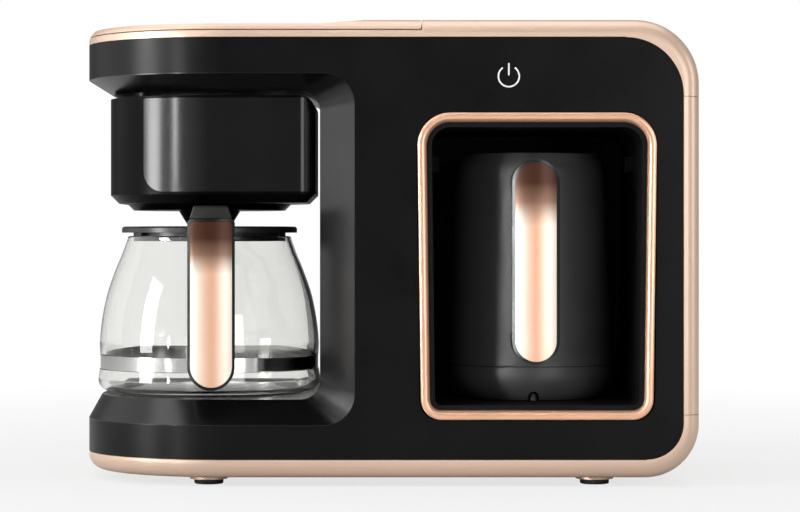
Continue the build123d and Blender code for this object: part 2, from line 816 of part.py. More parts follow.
def tank_middle():
    """Centre of the tank in plan."""
    left, right, front, back = tank_limits()
    return (left + right) / 2, (front + back) / 2


def tank_top():
    """Upper rim of the tank, under its seal."""
    return deck_bottom - tank_seal_height


def tank_ring(inset):
    """Plan outline of the tank, drawn in by inset."""
    left, right, front, back = tank_limits()
    return rounded(left + inset, right - inset, front + inset, back - inset, [tank_radius - inset] * 4)


def water_tank():
    """Open-topped water tank with an outlet spigot underneath."""
    x, y = tank_middle()
    tank = plan_block(tank_ring(0), tank_bottom, tank_top())
    tank -= plan_block(tank_ring(tank_wall), tank_bottom + tank_wall, tank_top() + overrun)
    tank += post(x, y, tank_bottom - spigot_length, tank_bottom + tank_wall, spigot_radius)
    return tank - post(x, y, 0, tank_bottom + 2 * tank_wall, spigot_bore)


def tank_seal():
    """Rubber seal between the tank's rim and the deck."""
    seal = plan_block(tank_ring(0), tank_top(), deck_bottom)
    return seal - plan_block(tank_ring(tank_seal_width), 0, beyond)


def barb_top():
    """Level where the non-return valve's body ends and its hose barb starts."""
    return tank_bottom - seam_gap - valve_body_length


def check_valve():
    """Non-return valve pushed on the tank's spigot, with a hose barb below."""
    x, y = tank_middle()
    top, step = tank_bottom - seam_gap, barb_top()
    socket_floor = tank_bottom - spigot_length - seam_gap
    socket = spigot_radius + screw_clearance
    points = [(water_tube_bore, step - barb_length), (water_tube_radius, step - barb_length),
              (water_tube_radius, step), (valve_body_radius, step), (valve_body_radius, top),
              (socket, top), (socket, socket_floor), (water_tube_bore, socket_floor)]
    return turned(points, x, y)


def hose(points):
    """A hose along straight runs joined by arcs."""
    path = FilletPolyline(*points, radius=hose_bend)
    start = Plane(origin=path @ 0, z_dir=path % 0)
    ring = Circle(hose_radius) - Circle(water_tube_radius + screw_clearance)
    return sweep(start * ring, path=path)


def heater_z():
    """Middle height of the flow heater, pressed under the plate."""
    return bay_floor - plate_pan_depth - heater_height / 2


def heater_end():
    """X where the heater's two water tubes end."""
    return carafe_x + heater_leg + water_tube_reach


def tank_hose():
    """Hose from the non-return valve to the cold end of the heater."""
    x, y = tank_middle()
    low, end_y = heater_z(), carafe_y - heater_radius
    return hose([(x, y, barb_top() - seam_gap), (x, y, low), (x, end_y, low),
                 (heater_end() - water_tube_reach / 2, end_y, low)])


def riser_level():
    """Middle height of the riser hose where it crosses under the deck."""
    return deck_bottom - hose_radius - 2 * seam_gap


def shower_inlet_top():
    """Upper end of the shower head's inlet, where the riser hose starts to bend."""
    return riser_level() - hose_bend


def riser_hose():
    """Hose from the hot end of the heater, up behind the tank and over to the shower head."""
    x, _ = tank_middle()
    low, high = heater_z(), riser_level()
    start_y, rear_y = carafe_y + heater_radius, rear_inside - tank_rear_gap / 2
    return hose([(heater_end() - water_tube_reach / 2, start_y, low), (x, start_y, low), (x, rear_y, low),
                 (x, rear_y, high), (carafe_x, rear_y, high), (carafe_x, carafe_y, high),
                 (carafe_x, carafe_y, bay_ceiling + liner_wall + shower_flange_height + seam_gap)])


def flow_heater():
    """U-shaped aluminium heater whose water tube leaves both legs towards the column."""
    outer, inner = heater_radius + heater_width / 2, heater_radius - heater_width / 2
    leg_end = Pos(heater_leg / 2, 0)
    plan = Circle(outer) + leg_end * Rectangle(heater_leg, 2 * outer)
    plan -= Circle(inner) + leg_end * Rectangle(heater_leg + overrun, 2 * inner)
    plan -= Pos(heater_leg + outer, 0) * Rectangle(2 * outer, 2 * outer)
    z = heater_z()
    heater = plan_block(Pos(carafe_x, carafe_y) * plan, z - heater_height / 2, z + heater_height / 2)
    for side in (-1, 1):
        y = carafe_y + side * heater_radius
        heater += bar_x(y, z, carafe_x + heater_leg - overrun, heater_end(), water_tube_radius)
        heater -= bar_x(y, z, carafe_x, heater_end() + overrun, water_tube_bore)
    return heater


def heater_clamp():
    """Steel bar that presses the heater up against the plate, on a post in the middle."""
    bottom = heater_z() - heater_height / 2
    reach = heater_radius + heater_width / 2
    bar = block(carafe_x - reach, carafe_x + heater_leg / 2, carafe_y - clamp_width / 2,
                carafe_y + clamp_width / 2, bottom - clamp_thickness, bottom)
    return bar + post(carafe_x, carafe_y, bottom - clamp_thickness / 2, bay_floor - plate_pan_depth,
                      clamp_width / 2)


def thermostat():
    """Button thermostat under the heater's bend."""
    x = carafe_x - heater_radius * cos(radians(sensor_angle))
    y = carafe_y + heater_radius * sin(radians(sensor_angle))
    bottom = heater_z() - heater_height / 2
    return post(x, y, bottom - thermostat_height, bottom, thermostat_radius)


def thermal_fuse():
    """One-shot fuse that lies along the underside of the heater."""
    x = carafe_x - heater_radius * cos(radians(sensor_angle))
    y = carafe_y - heater_radius * sin(radians(sensor_angle))
    z = heater_z() - heater_height / 2 - fuse_radius
    return bar_x(y, z, x - fuse_length / 2, x + fuse_length / 2, fuse_radius)


def warming_plate():
    """Round aluminium hot plate with a thin flange that lies on the bay floor."""
    low = bay_floor - plate_pan_depth
    points = [(0, low), (plate_pan_radius, low), (plate_pan_radius, bay_floor),
              (plate_flange_radius, bay_floor), (plate_flange_radius - plate_rise, plate_top), (0, plate_top)]
    return turned(points, carafe_x, carafe_y)


def plate_seal():
    """Rubber ring round the plate, under the bay floor."""
    top = bay_floor - liner_wall
    bottom = top - plate_seal_height
    inner = plate_pan_radius + screw_clearance
    outer = inner + plate_seal_width
    return turned([(inner, bottom), (outer, bottom), (outer, top), (inner, top)], carafe_x, carafe_y)


def shower_head():
    """Perforated spray disc in the bay ceiling, with its inlet above."""
    bottom = bay_ceiling - shower_drop
    flange = bay_ceiling + liner_wall
    top = flange + shower_flange_height
    floor, roof = bottom + shower_skin, top - shower_skin
    chamber = shower_radius - shower_skin
    points = [(0, bottom), (shower_radius, bottom), (shower_radius, flange), (shower_flange_radius, flange),
              (shower_flange_radius, top), (water_tube_radius, top), (water_tube_radius, shower_inlet_top()),
              (water_tube_bore, shower_inlet_top()), (water_tube_bore, roof), (chamber, roof),
              (chamber, floor), (0, floor)]
    head = turned(points, carafe_x, carafe_y)
    for hole in PolarLocations(shower_ring_radius, shower_ring_count):
        spray = hole * Cylinder(shower_hole_radius, 4 * shower_skin)
        head -= Pos(carafe_x, carafe_y, bottom) * spray
    return head


# ---- swing-out filter holder ----------------------------------------------------------
def drum_front_view():
    """Front view of the drum: its top right edge follows the rounded corner of the bay."""
    radii = [0, 0, bay_throat_radius - holder_gap, 0]
    outline = rounded(drum_left - overrun, drum_right, drum_bottom - overrun, drum_top, radii)
    return front_block(outline, -beyond, beyond)


def drum_outline(inset=0.0):
    """Plan of the holder's drum, wide and round at the left front."""
    radii = [drum_left_radius - inset, drum_right_radius - inset,
             drum_rear_right_radius - inset, drum_rear_left_radius - inset]
    return rounded(drum_left + inset, drum_right - inset, drum_front + inset, drum_rear - inset, radii)


def panel_space(grow):
    """Room for the glossy panel in the face of the drum."""
    depth = panel_thickness + grow
    skin = plan_block(drum_outline(), drum_bottom, drum_top) - plan_block(drum_outline(depth), 0, beyond)
    outline = rounded(drum_left + panel_left_inset - grow, drum_right - panel_right_inset + grow,
                      drum_bottom + panel_bottom_inset - grow, drum_top - panel_top_inset + grow,
                      [panel_corner_radius] + 3 * [panel_edge_radius])
    return skin & front_block(outline, -beyond, drum_front + drum_left_radius) & drum_front_view()


def drum_floor():
    """Upper face of the drum's floor."""
    return drum_bottom + drum_chamfer


def filter_holder():
    """Drum with a dished floor, and a hub and web at the rear left for its pivot pin."""
    drum = plan_block(drum_outline(), drum_bottom, drum_top)
    drum = chamfer(drum.faces().sort_by(Axis.Z)[0].edges(), drum_chamfer)
    drum &= drum_front_view()
    drum -= plan_block(drum_outline(drum_wall), drum_floor(), drum_top + overrun)
    drum -= panel_space(panel_clearance)
    dish = Cone(dish_radius - dish_depth, dish_radius, dish_depth)
    drum += Pos(carafe_x, carafe_y, dish_bottom + dish_depth / 2) * dish
    drum -= post(carafe_x, carafe_y, 0, drum_top, outlet_spigot_radius + seam_gap)
    hub = post(pivot_x, pivot_y, drum_bottom, drum_top, pivot_hub_radius)
    hub += block(drum_left + drum_wall / 2, pivot_x, pivot_y - pivot_radius, pivot_y + pivot_radius,
                 drum_floor() - overrun, drum_top)
    drum += hub
    drum -= post(pivot_x, pivot_y, 0, beyond, pivot_radius + pin_clearance)
    return drum - post(pivot_x, pivot_y, 0, drum_bottom + pivot_head_recess, pivot_head_radius + seam_gap)


def holder_front():
    """Glossy panel let into the face of the drum."""
    return panel_space(0)


def holder_pivot():
    """Fixed pin that hangs from the bay ceiling and carries the holder on its head."""
    head_top = drum_bottom + pivot_head_recess - seam_gap
    flange = bay_ceiling + liner_wall
    pin = post(pivot_x, pivot_y, head_top - overrun, flange + pivot_head_height, pivot_radius)
    pin += post(pivot_x, pivot_y, head_top - pivot_head_height, head_top, pivot_head_radius)
    return pin + post(pivot_x, pivot_y, flange, flange + pivot_head_height, pivot_cap_radius)


def basket_profile(inset, bottom, top):
    """Outline of the basket's cone between two levels, drawn in by inset."""
    foot, rim = basket_foot_radius - inset, basket_radius - inset
    return [(0, bottom), (foot, bottom), (rim, top), (0, top)]


def basket_top():
    """Rim of the filter basket."""
    return drum_top - basket_top_gap


def filter_basket():
    """Conical basket with upright ribs inside, drain holes and a hole for the valve stem."""
    floor = drum_floor()
    cone = turned(basket_profile(0, floor, basket_top()), carafe_x, carafe_y)
    inner = basket_profile(basket_wall, floor + basket_wall, basket_top() + basket_wall)
    core = basket_profile(basket_wall + basket_rib_depth, floor + basket_wall - overrun, basket_top())
    rib_height = basket_top() - floor
    basket = cone - turned(inner, carafe_x, carafe_y)
    for place in PolarLocations(basket_radius / 2, basket_rib_count):
        rib = place * Box(basket_radius, basket_rib_width, rib_height - 2 * basket_wall)
        rib = Pos(carafe_x, carafe_y, floor + rib_height / 2) * rib
        basket += (rib & cone) - turned(core, carafe_x, carafe_y)
    for place in PolarLocations(drain_ring_radius, drain_count):
        basket -= Pos(carafe_x, carafe_y, floor) * place * Cylinder(drain_radius, 4 * basket_wall)
    return basket - post(carafe_x, carafe_y, 0, floor + 2 * basket_wall, valve_stem_radius + seam_gap)


def mesh_filter():
    """Fine reusable filter cone that stands in the basket's ribs."""
    inset = basket_wall + basket_rib_depth + seam_gap
    bottom = drum_floor() + mesh_rise
    outer = turned(basket_profile(inset, bottom, basket_top()), carafe_x, carafe_y)
    inner = basket_profile(inset + mesh_wall, bottom + mesh_wall, basket_top() + mesh_wall)
    return outer - turned(inner, carafe_x, carafe_y)


def drip_outlet():
    """Tapered nozzle under the dish, with a spigot up into the drum and a valve seat."""
    top = drum_floor() - seam_gap
    seat = outlet_bottom + outlet_floor
    outside = [(outlet_bottom_radius, outlet_bottom), (outlet_top_radius, dish_bottom),
               (outlet_spigot_radius, dish_bottom), (outlet_spigot_radius, top)]
    bore = [(outlet_bore_radius, top), (outlet_bore_radius, seat), (outlet_seat_radius, seat),
            (outlet_seat_radius, outlet_bottom)]
    return turned(outside + bore, carafe_x, carafe_y)


def seal_bottom():
    """Underside of the valve's seal at its low stop."""
    return outlet_bottom + outlet_floor + seam_gap


def drip_valve():
    """Button that the carafe's lid pushes up, with its seal disc and stem."""
    seal_top = seal_bottom() + valve_seal_height
    stem_top = drum_floor() + basket_wall + seam_gap
    points = [(0, valve_bottom), (valve_button_radius - valve_chamfer, valve_bottom),
              (valve_button_radius, valve_bottom + valve_chamfer),
              (valve_button_radius, seal_bottom()), (valve_seal_radius, seal_bottom()),
              (valve_seal_radius, seal_top), (valve_stem_radius, seal_top), (valve_stem_radius, stem_top),
              (0, stem_top)]
    return turned(points, carafe_x, carafe_y)


def valve_spring():
    """Coil spring between the seal disc and the underside of the basket."""
    bottom = seal_bottom() + valve_seal_height + spring_wire_radius + screw_clearance
    top = drum_floor() - spring_wire_radius - screw_clearance
    pitch = (top - bottom) / spring_turns
    coil = Helix(pitch=pitch, height=top - bottom, radius=spring_radius)
    wire = sweep(Plane(origin=coil @ 0, z_dir=coil % 0) * Circle(spring_wire_radius), path=coil)
    return Pos(carafe_x, carafe_y, bottom) * wire


# ---- handles, shared by the carafe and the pot ----------------------------------------
def stadium(width, bottom, top, top_radius):
    """Front view of a handle: round at the bottom and with its own radius at the top."""
    low = width / 2 - hairline
    return rounded(-width / 2, width / 2, bottom, top, [low, low, top_radius, top_radius])


def handle_window(inner, bottom, top, radius):
    """The finger gap behind a grip, rounded at its front corners."""
    outline = rounded(inner, 0, bottom, top, [radius, 0, 0, radius])
    return extrude(Plane.YZ * outline, amount=beyond, both=True)


def crowned(shape, front, back, width, crown):
    """A front-view outline carried back from a front that bulges by the crown."""
    bulge = (width * width / 4 + crown * crown) / (2 * crown)
    barrel = post(0, front + bulge, -beyond, beyond, bulge)
    return front_block(shape, front, back) & barrel


# ---- carafe ---------------------------------------------------------------------------
def place_carafe(shape):
    """Moves a piece from the carafe's own axis to its place on the plate."""
    return Pos(carafe_x, carafe_y, carafe_base) * Rot(0, 0, carafe_turn) * shape


def carafe_form(inset):
    """Solid form of the glass, drawn in by inset."""
    foot, neck = carafe_foot_radius - inset, carafe_neck_radius - inset
    flat = foot - carafe_foot_height + inset
    waist = (carafe_waist_radius - inset, band_bottom + band_height / 2)
    belly = (carafe_belly_radius - inset, carafe_belly_height)
    roll = TangentArc((foot, carafe_foot_height), (flat, inset), tangent=(0, -1))
    wall_line = Polyline((foot, carafe_foot_height), waist, belly)
    side = TangentArc(belly, (carafe_shoulder_radius - inset, carafe_shoulder_height), tangent=(0, 1))
    throat = TangentArc(side @ 1, (neck, carafe_height), tangent=side % 1)
    closing = Polyline((neck, carafe_height), (0, carafe_height), (0, inset), (flat, inset))
    return lathed(roll + wall_line + side + throat + closing)


def carafe_glass():
    """Blown glass jug with a groove for its band."""
    jug = carafe_form(0) - carafe_form(glass_wall)
    groove = post(0, 0, band_bottom - seam_gap, band_bottom + band_height + seam_gap, beyond)
    groove -= post(0, 0, 0, beyond, carafe_groove_radius)
    return place_carafe(jug - groove)


def carafe_band():
    """Steel band in the groove, with a bracket that carries the handle's foot."""
    inner = carafe_groove_radius + screw_clearance
    outer = inner + band_wall
    top = band_bottom + band_height
    bracket = block(-bracket_width / 2, bracket_width / 2, bracket_front(), -carafe_groove_radius,
                    band_bottom + band_wall, top - band_wall)
    bracket -= bar_y(0, carafe_screw_axis(), -beyond, 0, screw_radius + screw_clearance)
    ring = turned([(0, band_bottom), (outer, band_bottom), (outer, top), (0, top)]) + bracket
    return place_carafe(ring - post(0, 0, 0, beyond, inner))


def bracket_front():
    """Front end of the band's bracket, inside the foot of the handle."""
    return grip_thickness + bracket_inset - carafe_handle_reach


def carafe_grip():
    """The carafe's handle before its insert is let in."""
    outline = stadium(carafe_handle_width, carafe_handle_bottom, carafe_handle_top, grip_top_radius)
    return crowned(outline, -carafe_handle_reach, -carafe_neck_radius, carafe_handle_width, handle_crown)


def carafe_handle():
    """Moulded handle with a foot over the band's bracket and an arm to the neck."""
    front = -carafe_handle_reach
    inner = front + grip_thickness
    arm_bottom = carafe_handle_top - carafe_arm_height
    foot_top = band_bottom + band_height + foot_cover
    grip = carafe_grip() - handle_window(inner, foot_top, arm_bottom, window_radius)
    grip -= block(-beyond, beyond, inner, 0, 0, band_bottom - foot_cover)
    grip -= carafe_form(-seam_gap)
    grip -= post(0, 0, 0, band_bottom + band_height + overrun, carafe_foot_radius + seam_gap)
    grip -= post(0, 0, carafe_height - overrun, beyond, carafe_lid_radius + seam_gap)
    slot_half, slot_margin = bracket_width / 2 + bracket_clearance, band_wall - bracket_clearance
    grip -= block(-slot_half, slot_half, bracket_front() - bracket_clearance, 0,
                  band_bottom + slot_margin, band_bottom + band_height - slot_margin)
    grip -= bar_y(0, carafe_screw_axis(), front + insert_thickness, 0, screw_radius + screw_clearance)
    pocket = insert_outline(carafe_insert_width, carafe_handle_bottom, carafe_handle_top, panel_clearance)
    return place_carafe(grip - front_block(pocket, front, front + insert_thickness))


def insert_outline(width, bottom, top, grow):
    """Front view of the metal insert in a handle."""
    margin = insert_margin - grow
    return stadium(width + 2 * grow, bottom + margin, top - margin, insert_top_radius)


def carafe_screw_axis():
    """Height of the screw that joins the handle's foot to the band."""
    return band_bottom + band_height / 2


def carafe_insert():
    """Metal strip let into the front of the carafe's handle."""
    outline = insert_outline(carafe_insert_width, carafe_handle_bottom, carafe_handle_top, 0)
    front = -carafe_handle_reach
    strip = front_block(outline, front, front + insert_thickness)
    return place_carafe(strip & carafe_grip())


def carafe_screws():
    """Screw from the handle's foot into the band's bracket."""
    front = insert_thickness + overrun - carafe_handle_reach
    return place_carafe(bar_y(0, carafe_screw_axis(), front, front + screw_length, screw_radius))


def carafe_lid():
    """Lid with a plug inside the neck and a hollow towards the inlet hole."""
    flange = carafe_height + carafe_lid_gap
    top = flange + carafe_lid_height
    plug, plug_bottom = carafe_neck_radius - glass_wall - plug_clearance, carafe_height - plug_depth
    points = [(lid_hole_radius, flange), (plug - plug_wall, flange), (plug - plug_wall, plug_bottom),
              (plug, plug_bottom), (plug, flange), (carafe_lid_radius, flange),
              (carafe_lid_radius, top - carafe_lid_chamfer), (carafe_lid_radius - carafe_lid_chamfer, top),
              (plug, top), (lid_hole_radius, top - carafe_lid_dish)]
    lid = turned(points)
    pad_height = carafe_lid_gap - pad_gap
    for place in PolarLocations(carafe_neck_radius - glass_wall / 2, pad_count, start_angle=90):
        lid += Pos(0, 0, flange - pad_height / 2) * place * Box(glass_wall, pad_width, pad_height)
    return place_carafe(lid)


def thumb_lever():
    """Thumb lever of the carafe's lid, over the top of the handle."""
    bottom = carafe_handle_top + seam_gap
    front = lever_setback - carafe_handle_reach
    radii = 2 * [lever_front_radius] + 2 * [lever_round]
    outline = rounded(-lever_width / 2, lever_width / 2, front, -lever_inner_reach, radii)
    lever = plan_block(outline, bottom, lever_top)
    return place_carafe(fillet(lever.faces().sort_by(Axis.Z)[-1].edges(), lever_edge))


# ---- Turkish coffee pot ---------------------------------------------------------------
def place_pot(shape):
    """Moves a piece from the pot's own axis to its place in the niche."""
    return Pos(niche_x, pot_y, pot_bottom) * shape


def pot_form(inset):
    """Solid tapered form of the pot above its base, drawn in by inset."""
    shoulder = pot_height - pot_shoulder_drop
    side = Polyline((0, pot_base_height), (pot_radius - inset, pot_base_height),
                    (pot_top_radius - inset, shoulder))
    bend = TangentArc((pot_top_radius - inset, shoulder), (pot_mouth_radius - inset, pot_height),
                      tangent=(pot_top_radius - pot_radius, shoulder - pot_base_height))
    closing = Polyline((pot_mouth_radius - inset, pot_height), (0, pot_height), (0, pot_base_height))
    return lathed(side + bend + closing)


def base_screw_ring():
    """Radius of the screws that hold the pot's base to its shell."""
    return pot_foot_radius - post_radius


def pot_screw_places():
    """The three screws round the pot's base, clear of the channel and the contacts."""
    return PolarLocations(base_screw_ring(), 3)


def pot_shell():
    """Black outer shell with an inward flange at its foot."""
    shell = pot_form(0) - pot_form(pot_wall)
    seam = pot_base_height + pot_seam
    shell -= post(0, 0, 0, seam, beyond)
    inner, outer = base_screw_ring() - post_radius, pot_radius - pot_wall / 2
    shell += turned([(inner, seam), (outer, seam), (outer, seam + pot_wall), (inner, seam + pot_wall)])
    for place in pot_screw_places():
        shell -= Pos(0, 0, seam) * place * Cylinder(screw_radius + screw_clearance, 4 * pot_wall)
    return place_pot(shell)


def pot_liner():
    """Steel cup inside the shell, heated from below."""
    inset = pot_wall + seam_gap
    cup = pot_form(inset) - pot_form(inset + pot_liner_wall)
    cup -= post(0, 0, 0, pot_floor_height, beyond)
    floor = post(0, 0, pot_floor_height, pot_floor_height + pot_liner_wall, beyond)
    return place_pot(cup + (floor & pot_form(inset + pot_liner_wall / 2)))


def pot_base():
    """Rounded base with the guide channel underneath and the contact block's pocket."""
    flat = pot_foot_radius
    bend = TangentArc((pot_radius, pot_base_round), (flat, 0), tangent=(0, -1))
    closing = Polyline((pot_radius, pot_base_round), (pot_radius, pot_base_height), (0, pot_base_height),
                       (0, 0), (flat, 0))
    base = lathed(bend + closing)
    base -= post(0, 0, base_floor_height, beyond, pot_radius - pot_wall)
    for place in pot_screw_places():
        base += place * post(0, 0, base_floor_height, pot_base_height, base_boss_radius)
        base -= place * post(0, 0, -overrun, beyond, screw_radius + screw_clearance)
        base -= place * post(0, 0, -overrun, screw_head_height + seam_gap, screw_head_radius + seam_gap)
    half = channel_width / 2
    channel = rounded(-half, half, -overrun, channel_height, [0, 0, half - hairline, half - hairline])
    base -= front_block(channel, -beyond, beyond)
    return place_pot(base - contact_block(seam_gap / 2, beyond))


def contact_block(grow, back):
    """Body of the contact block in the rear of the pot's base."""
    half_width, half_height = contact_pitch * 3 / 2 + grow, contact_pitch / 2 + grow
    return block(-half_width, half_width, pot_radius - contact_depth - grow, back,
                 contact_height - half_height, contact_height + half_height)


def pot_contacts():
    """Contact block with three pins that reach into the socket at the back of the niche."""
    body = contact_block(0, pot_radius) & post(0, 0, 0, pot_base_height, pot_radius)
    start, end = pot_radius - contact_depth / 2, pot_radius + dock_gap + contact_pin_reach - seam_gap
    for step in (-1, 0, 1):
        body += bar_y(step * contact_pitch, contact_height, start, end, contact_pin_radius)
    return place_pot(body)


def pot_heater():
    """Flat ring heater pressed under the cup."""
    top = pot_floor_height
    ring = post(0, 0, top - pot_heater_height, top, pot_heater_radius)
    return place_pot(ring - post(0, 0, 0, beyond, thermistor_radius + seam_gap))


def pot_thermistor():
    """Temperature sensor in the middle of the heater."""
    bottom = pot_floor_height - pot_heater_height - overrun
    return place_pot(post(0, 0, bottom, pot_floor_height, thermistor_radius))


def pot_screws():
    """Three screws up through the base into the shell's flange."""
    top = pot_base_height + pot_seam + pot_wall
    screw = post(0, 0, seam_gap, screw_head_height, screw_head_radius)
    screw += post(0, 0, screw_head_height / 2, top, screw_radius)
    return [place_pot(place * screw) for place in pot_screw_places()]


def pot_grip_front():
    """Front of the pot's handle, measured from the pot's axis."""
    return body_front + pot_handle_setback - pot_y


def pot_grip():
    """The pot's handle before its insert is let in."""
    outline = stadium(pot_handle_width, pot_handle_bottom, pot_handle_top, pot_handle_width / 2 - hairline)
    return crowned(outline, pot_grip_front(), 0, pot_handle_width, handle_crown)


def pot_handle():
    """Moulded handle, joined to the shell at its top and bottom."""
    front = pot_grip_front()
    inner = front + grip_thickness
    low = pot_handle_bottom + handle_mount_height
    high = pot_handle_top - handle_mount_height
    grip = pot_grip() - handle_window(inner, low, high, window_radius)
    grip -= pot_form(-screw_clearance)
    return place_pot(grip - front_block(pot_insert_outline(panel_clearance), front, front + insert_thickness))


def pot_insert_outline(grow):
    """Front view of the metal insert in the pot's handle, round at both ends."""
    half_width, margin = pot_insert_width / 2 + grow, insert_margin - grow
    return stadium(2 * half_width, pot_handle_bottom + margin, pot_handle_top - margin, half_width - hairline)


def pot_insert():
    """Metal strip let into the front of the pot's handle."""
    front = pot_grip_front()
    return place_pot(front_block(pot_insert_outline(0), front, front + insert_thickness) & pot_grip())


# ---- electronics, fasteners and feet --------------------------------------------------
def touch_board():
    """Touch key board on the back of the front moulding, above the niche."""
    top = fascia_top - touch_board_drop
    front = body_front + wall + seam_gap / 2
    return block(niche_x - touch_board_width / 2, niche_x + touch_board_width / 2, front,
                 front + board_thickness, top - touch_board_height, top)


def buzzer():
    """Round buzzer on the back of the touch board."""
    back = body_front + wall + seam_gap / 2 + board_thickness
    z = fascia_top - touch_board_drop - touch_board_height / 2
    return bar_y(niche_x + touch_board_width / 4, z, back, back + buzzer_height, buzzer_radius)


def power_board_middle():
    """Y and Z of the middle of the mains board."""
    return (niche_back - power_board_length / 2 - relay_size,
            niche_floor + power_board_height / 2 + relay_size)


def power_board():
    """Mains board beside the niche, with its relay, capacitor and terminal block."""
    x = body_right - wall - power_board_gap
    y, z = power_board_middle()
    front, back = y - power_board_length / 2, y + power_board_length / 2
    bottom, top = z - power_board_height / 2, z + power_board_height / 2
    board = block(x - board_thickness, x, front, back, bottom, top)
    face = x - board_thickness
    for step in (1, 2):
        low = bottom + step * relay_pitch
        board += block(face - relay_size, x, y, y + relay_pitch, low, low + relay_size)
    return board + bar_x(back - 2 * capacitor_radius, z, face - capacitor_height, x, capacitor_radius)


def power_board_posts():
    """Posts on the side panel that carry the mains board."""
    x = body_right - wall
    y, z = power_board_middle()
    dy, dz = power_board_length / 2 - post_radius, power_board_height / 2 - post_radius
    return [bar_x(y + sy * dy, z + sz * dz, x - power_board_gap, x + wall / 2, post_radius / 2)
            for sy in (-1, 1) for sz in (-1, 1)]


def foot_places():
    """Centres of the four feet."""
    return [(x, y) for x in (body_left + foot_left_inset, body_right - foot_right_inset)
            for y in (body_front + foot_front_inset, body_back - foot_rear_inset)]


def feet():
    """Four rubber feet, each with a stem pressed into its pad on the tray."""
    pad = foot_height - foot_pad_height
    made = []
    for x, y in foot_places():
        foot = fillet(post(x, y, 0, pad, foot_radius).edges().group_by(Axis.Z)[0], foot_round)
        made.append(foot + post(x, y, pad / 2, foot_height + wall, foot_stem_radius))
    return made


def screw_boss_bottom():
    """Lower end of the screw bosses that hang from the bay floor and the niche floor."""
    return foot_height + screw_boss_rise


def bay_screw_places():
    """Screws from the tray up into the bay liner, clear of the heater."""
    left, right = carafe_x - screw_spread, carafe_x + screw_spread
    front, back = carafe_y - screw_reach, carafe_y + screw_reach
    return [(left, back), (right, front), (right, back)]


def niche_screw_places():
    """Screws from the tray up into the niche tub."""
    return [(niche_x + side * screw_spread, y) for side in (-1, 1)
            for y in (body_front + screw_spread, niche_back - post_radius - screw_length)]


def base_screw_places():
    """All screws that come up through the tray."""
    return bay_screw_places() + niche_screw_places()


def base_screws():
    """Screws in the tray's hollow posts, up into the bosses above them."""
    seat = screw_boss_bottom() - seam_gap - wall
    screw = post(0, 0, seat - screw_head_height, seat, screw_head_radius)
    screw += post(0, 0, seat - overrun, screw_boss_bottom() + screw_length / 2, screw_radius)
    return [Pos(x, y) * screw for x, y in base_screw_places()]


def rear_screw_places():
    """X and Z of the rear cover's screws: two in the tray, then two in the top cover."""
    low = foot_height + screw_boss_rise / 2 + post_radius
    high = overall_height - top_band - post_radius
    return [(body_left + foot_left_inset / 2, low), (fascia_right - bottom_right_radius, low),
            (lid_right + screw_length, high), (fascia_right - top_right_radius, high)]


def rear_screws():
    """Four countersunk screws that hold the rear cover."""
    made = []
    for x, z in rear_screw_places():
        seat = body_back - wall / 2
        screw = bar_y(x, z, seat, seat + wall / 2 - screw_clearance, screw_head_radius)
        start = rear_inside - screw_length + boss_end + overrun
        made.append(screw + bar_y(x, z, start, seat + wall / 4, screw_radius))
    return made


def gland_x():
    """Where the mains lead enters, seen from behind at the lower outer corner."""
    return body_right - gland_inset


def gland_z():
    """Height of the mains lead's inlet."""
    return niche_floor - gland_radius - niche_wall - post_radius


def cord_inlet():
    """Bushing in the rear cover that the mains lead would pass through."""
    x, z = gland_x(), gland_z()
    gland = bar_y(x, z, rear_inside - gland_flange, rear_inside, gland_radius)
    gland += bar_y(x, z, rear_inside - overrun, body_back, gland_radius - gland_flange - seam_gap / 2)
    return gland - bar_y(x, z, 0, beyond, gland_bore)


# ---- every node and its file ----------------------------------------------------------
nodes = [
    base_tray, right_side_panel, top_cover, front_fascia, bay_liner, rear_cover, top_deck,
    niche_frame, niche_liner, foam_sensors, pot_rail, dock_contacts, water_tank, tank_seal,
    check_valve, tank_hose, riser_hose, flow_heater, heater_clamp, thermostat, thermal_fuse,
    warming_plate, plate_seal, shower_head, holder_pivot, lid_pins, touch_board, buzzer,
    power_board, feet, base_screws, rear_screws, cord_inlet, tank_lid, lid_liner,
    filter_holder, holder_front, filter_basket, mesh_filter, drip_outlet, drip_valve,
    valve_spring, carafe_glass, carafe_band, carafe_handle, carafe_insert, carafe_lid,
    thumb_lever, carafe_screws, pot_shell, pot_liner, pot_base, pot_handle, pot_insert,
    pot_heater, pot_thermistor, pot_contacts, pot_screws,
]

os.makedirs("parts", exist_ok=True)
for node in nodes:
    made = node()
    pieces = made if isinstance(made, list) else [made]
    solids = [solid for piece in pieces for solid in piece.solids()]
    export_step(Compound(solids), f"parts/{node.__name__}.step")
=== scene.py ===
"""Finishes, own pieces and studio of a two-sided coffee maker.

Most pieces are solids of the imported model, and get their finishes here. Made here are the glass jug, the
copper moulding round the niche, the carafe's thumb lever, the drip spring and the printed touch mark.

Every length is in metres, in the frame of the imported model: +X to the right, +Y to the back, +Z up.
"""
import math

import bmesh
import bpy
from bpy.props import FloatProperty, FloatVectorProperty, PointerProperty
from mathutils import Matrix, Vector


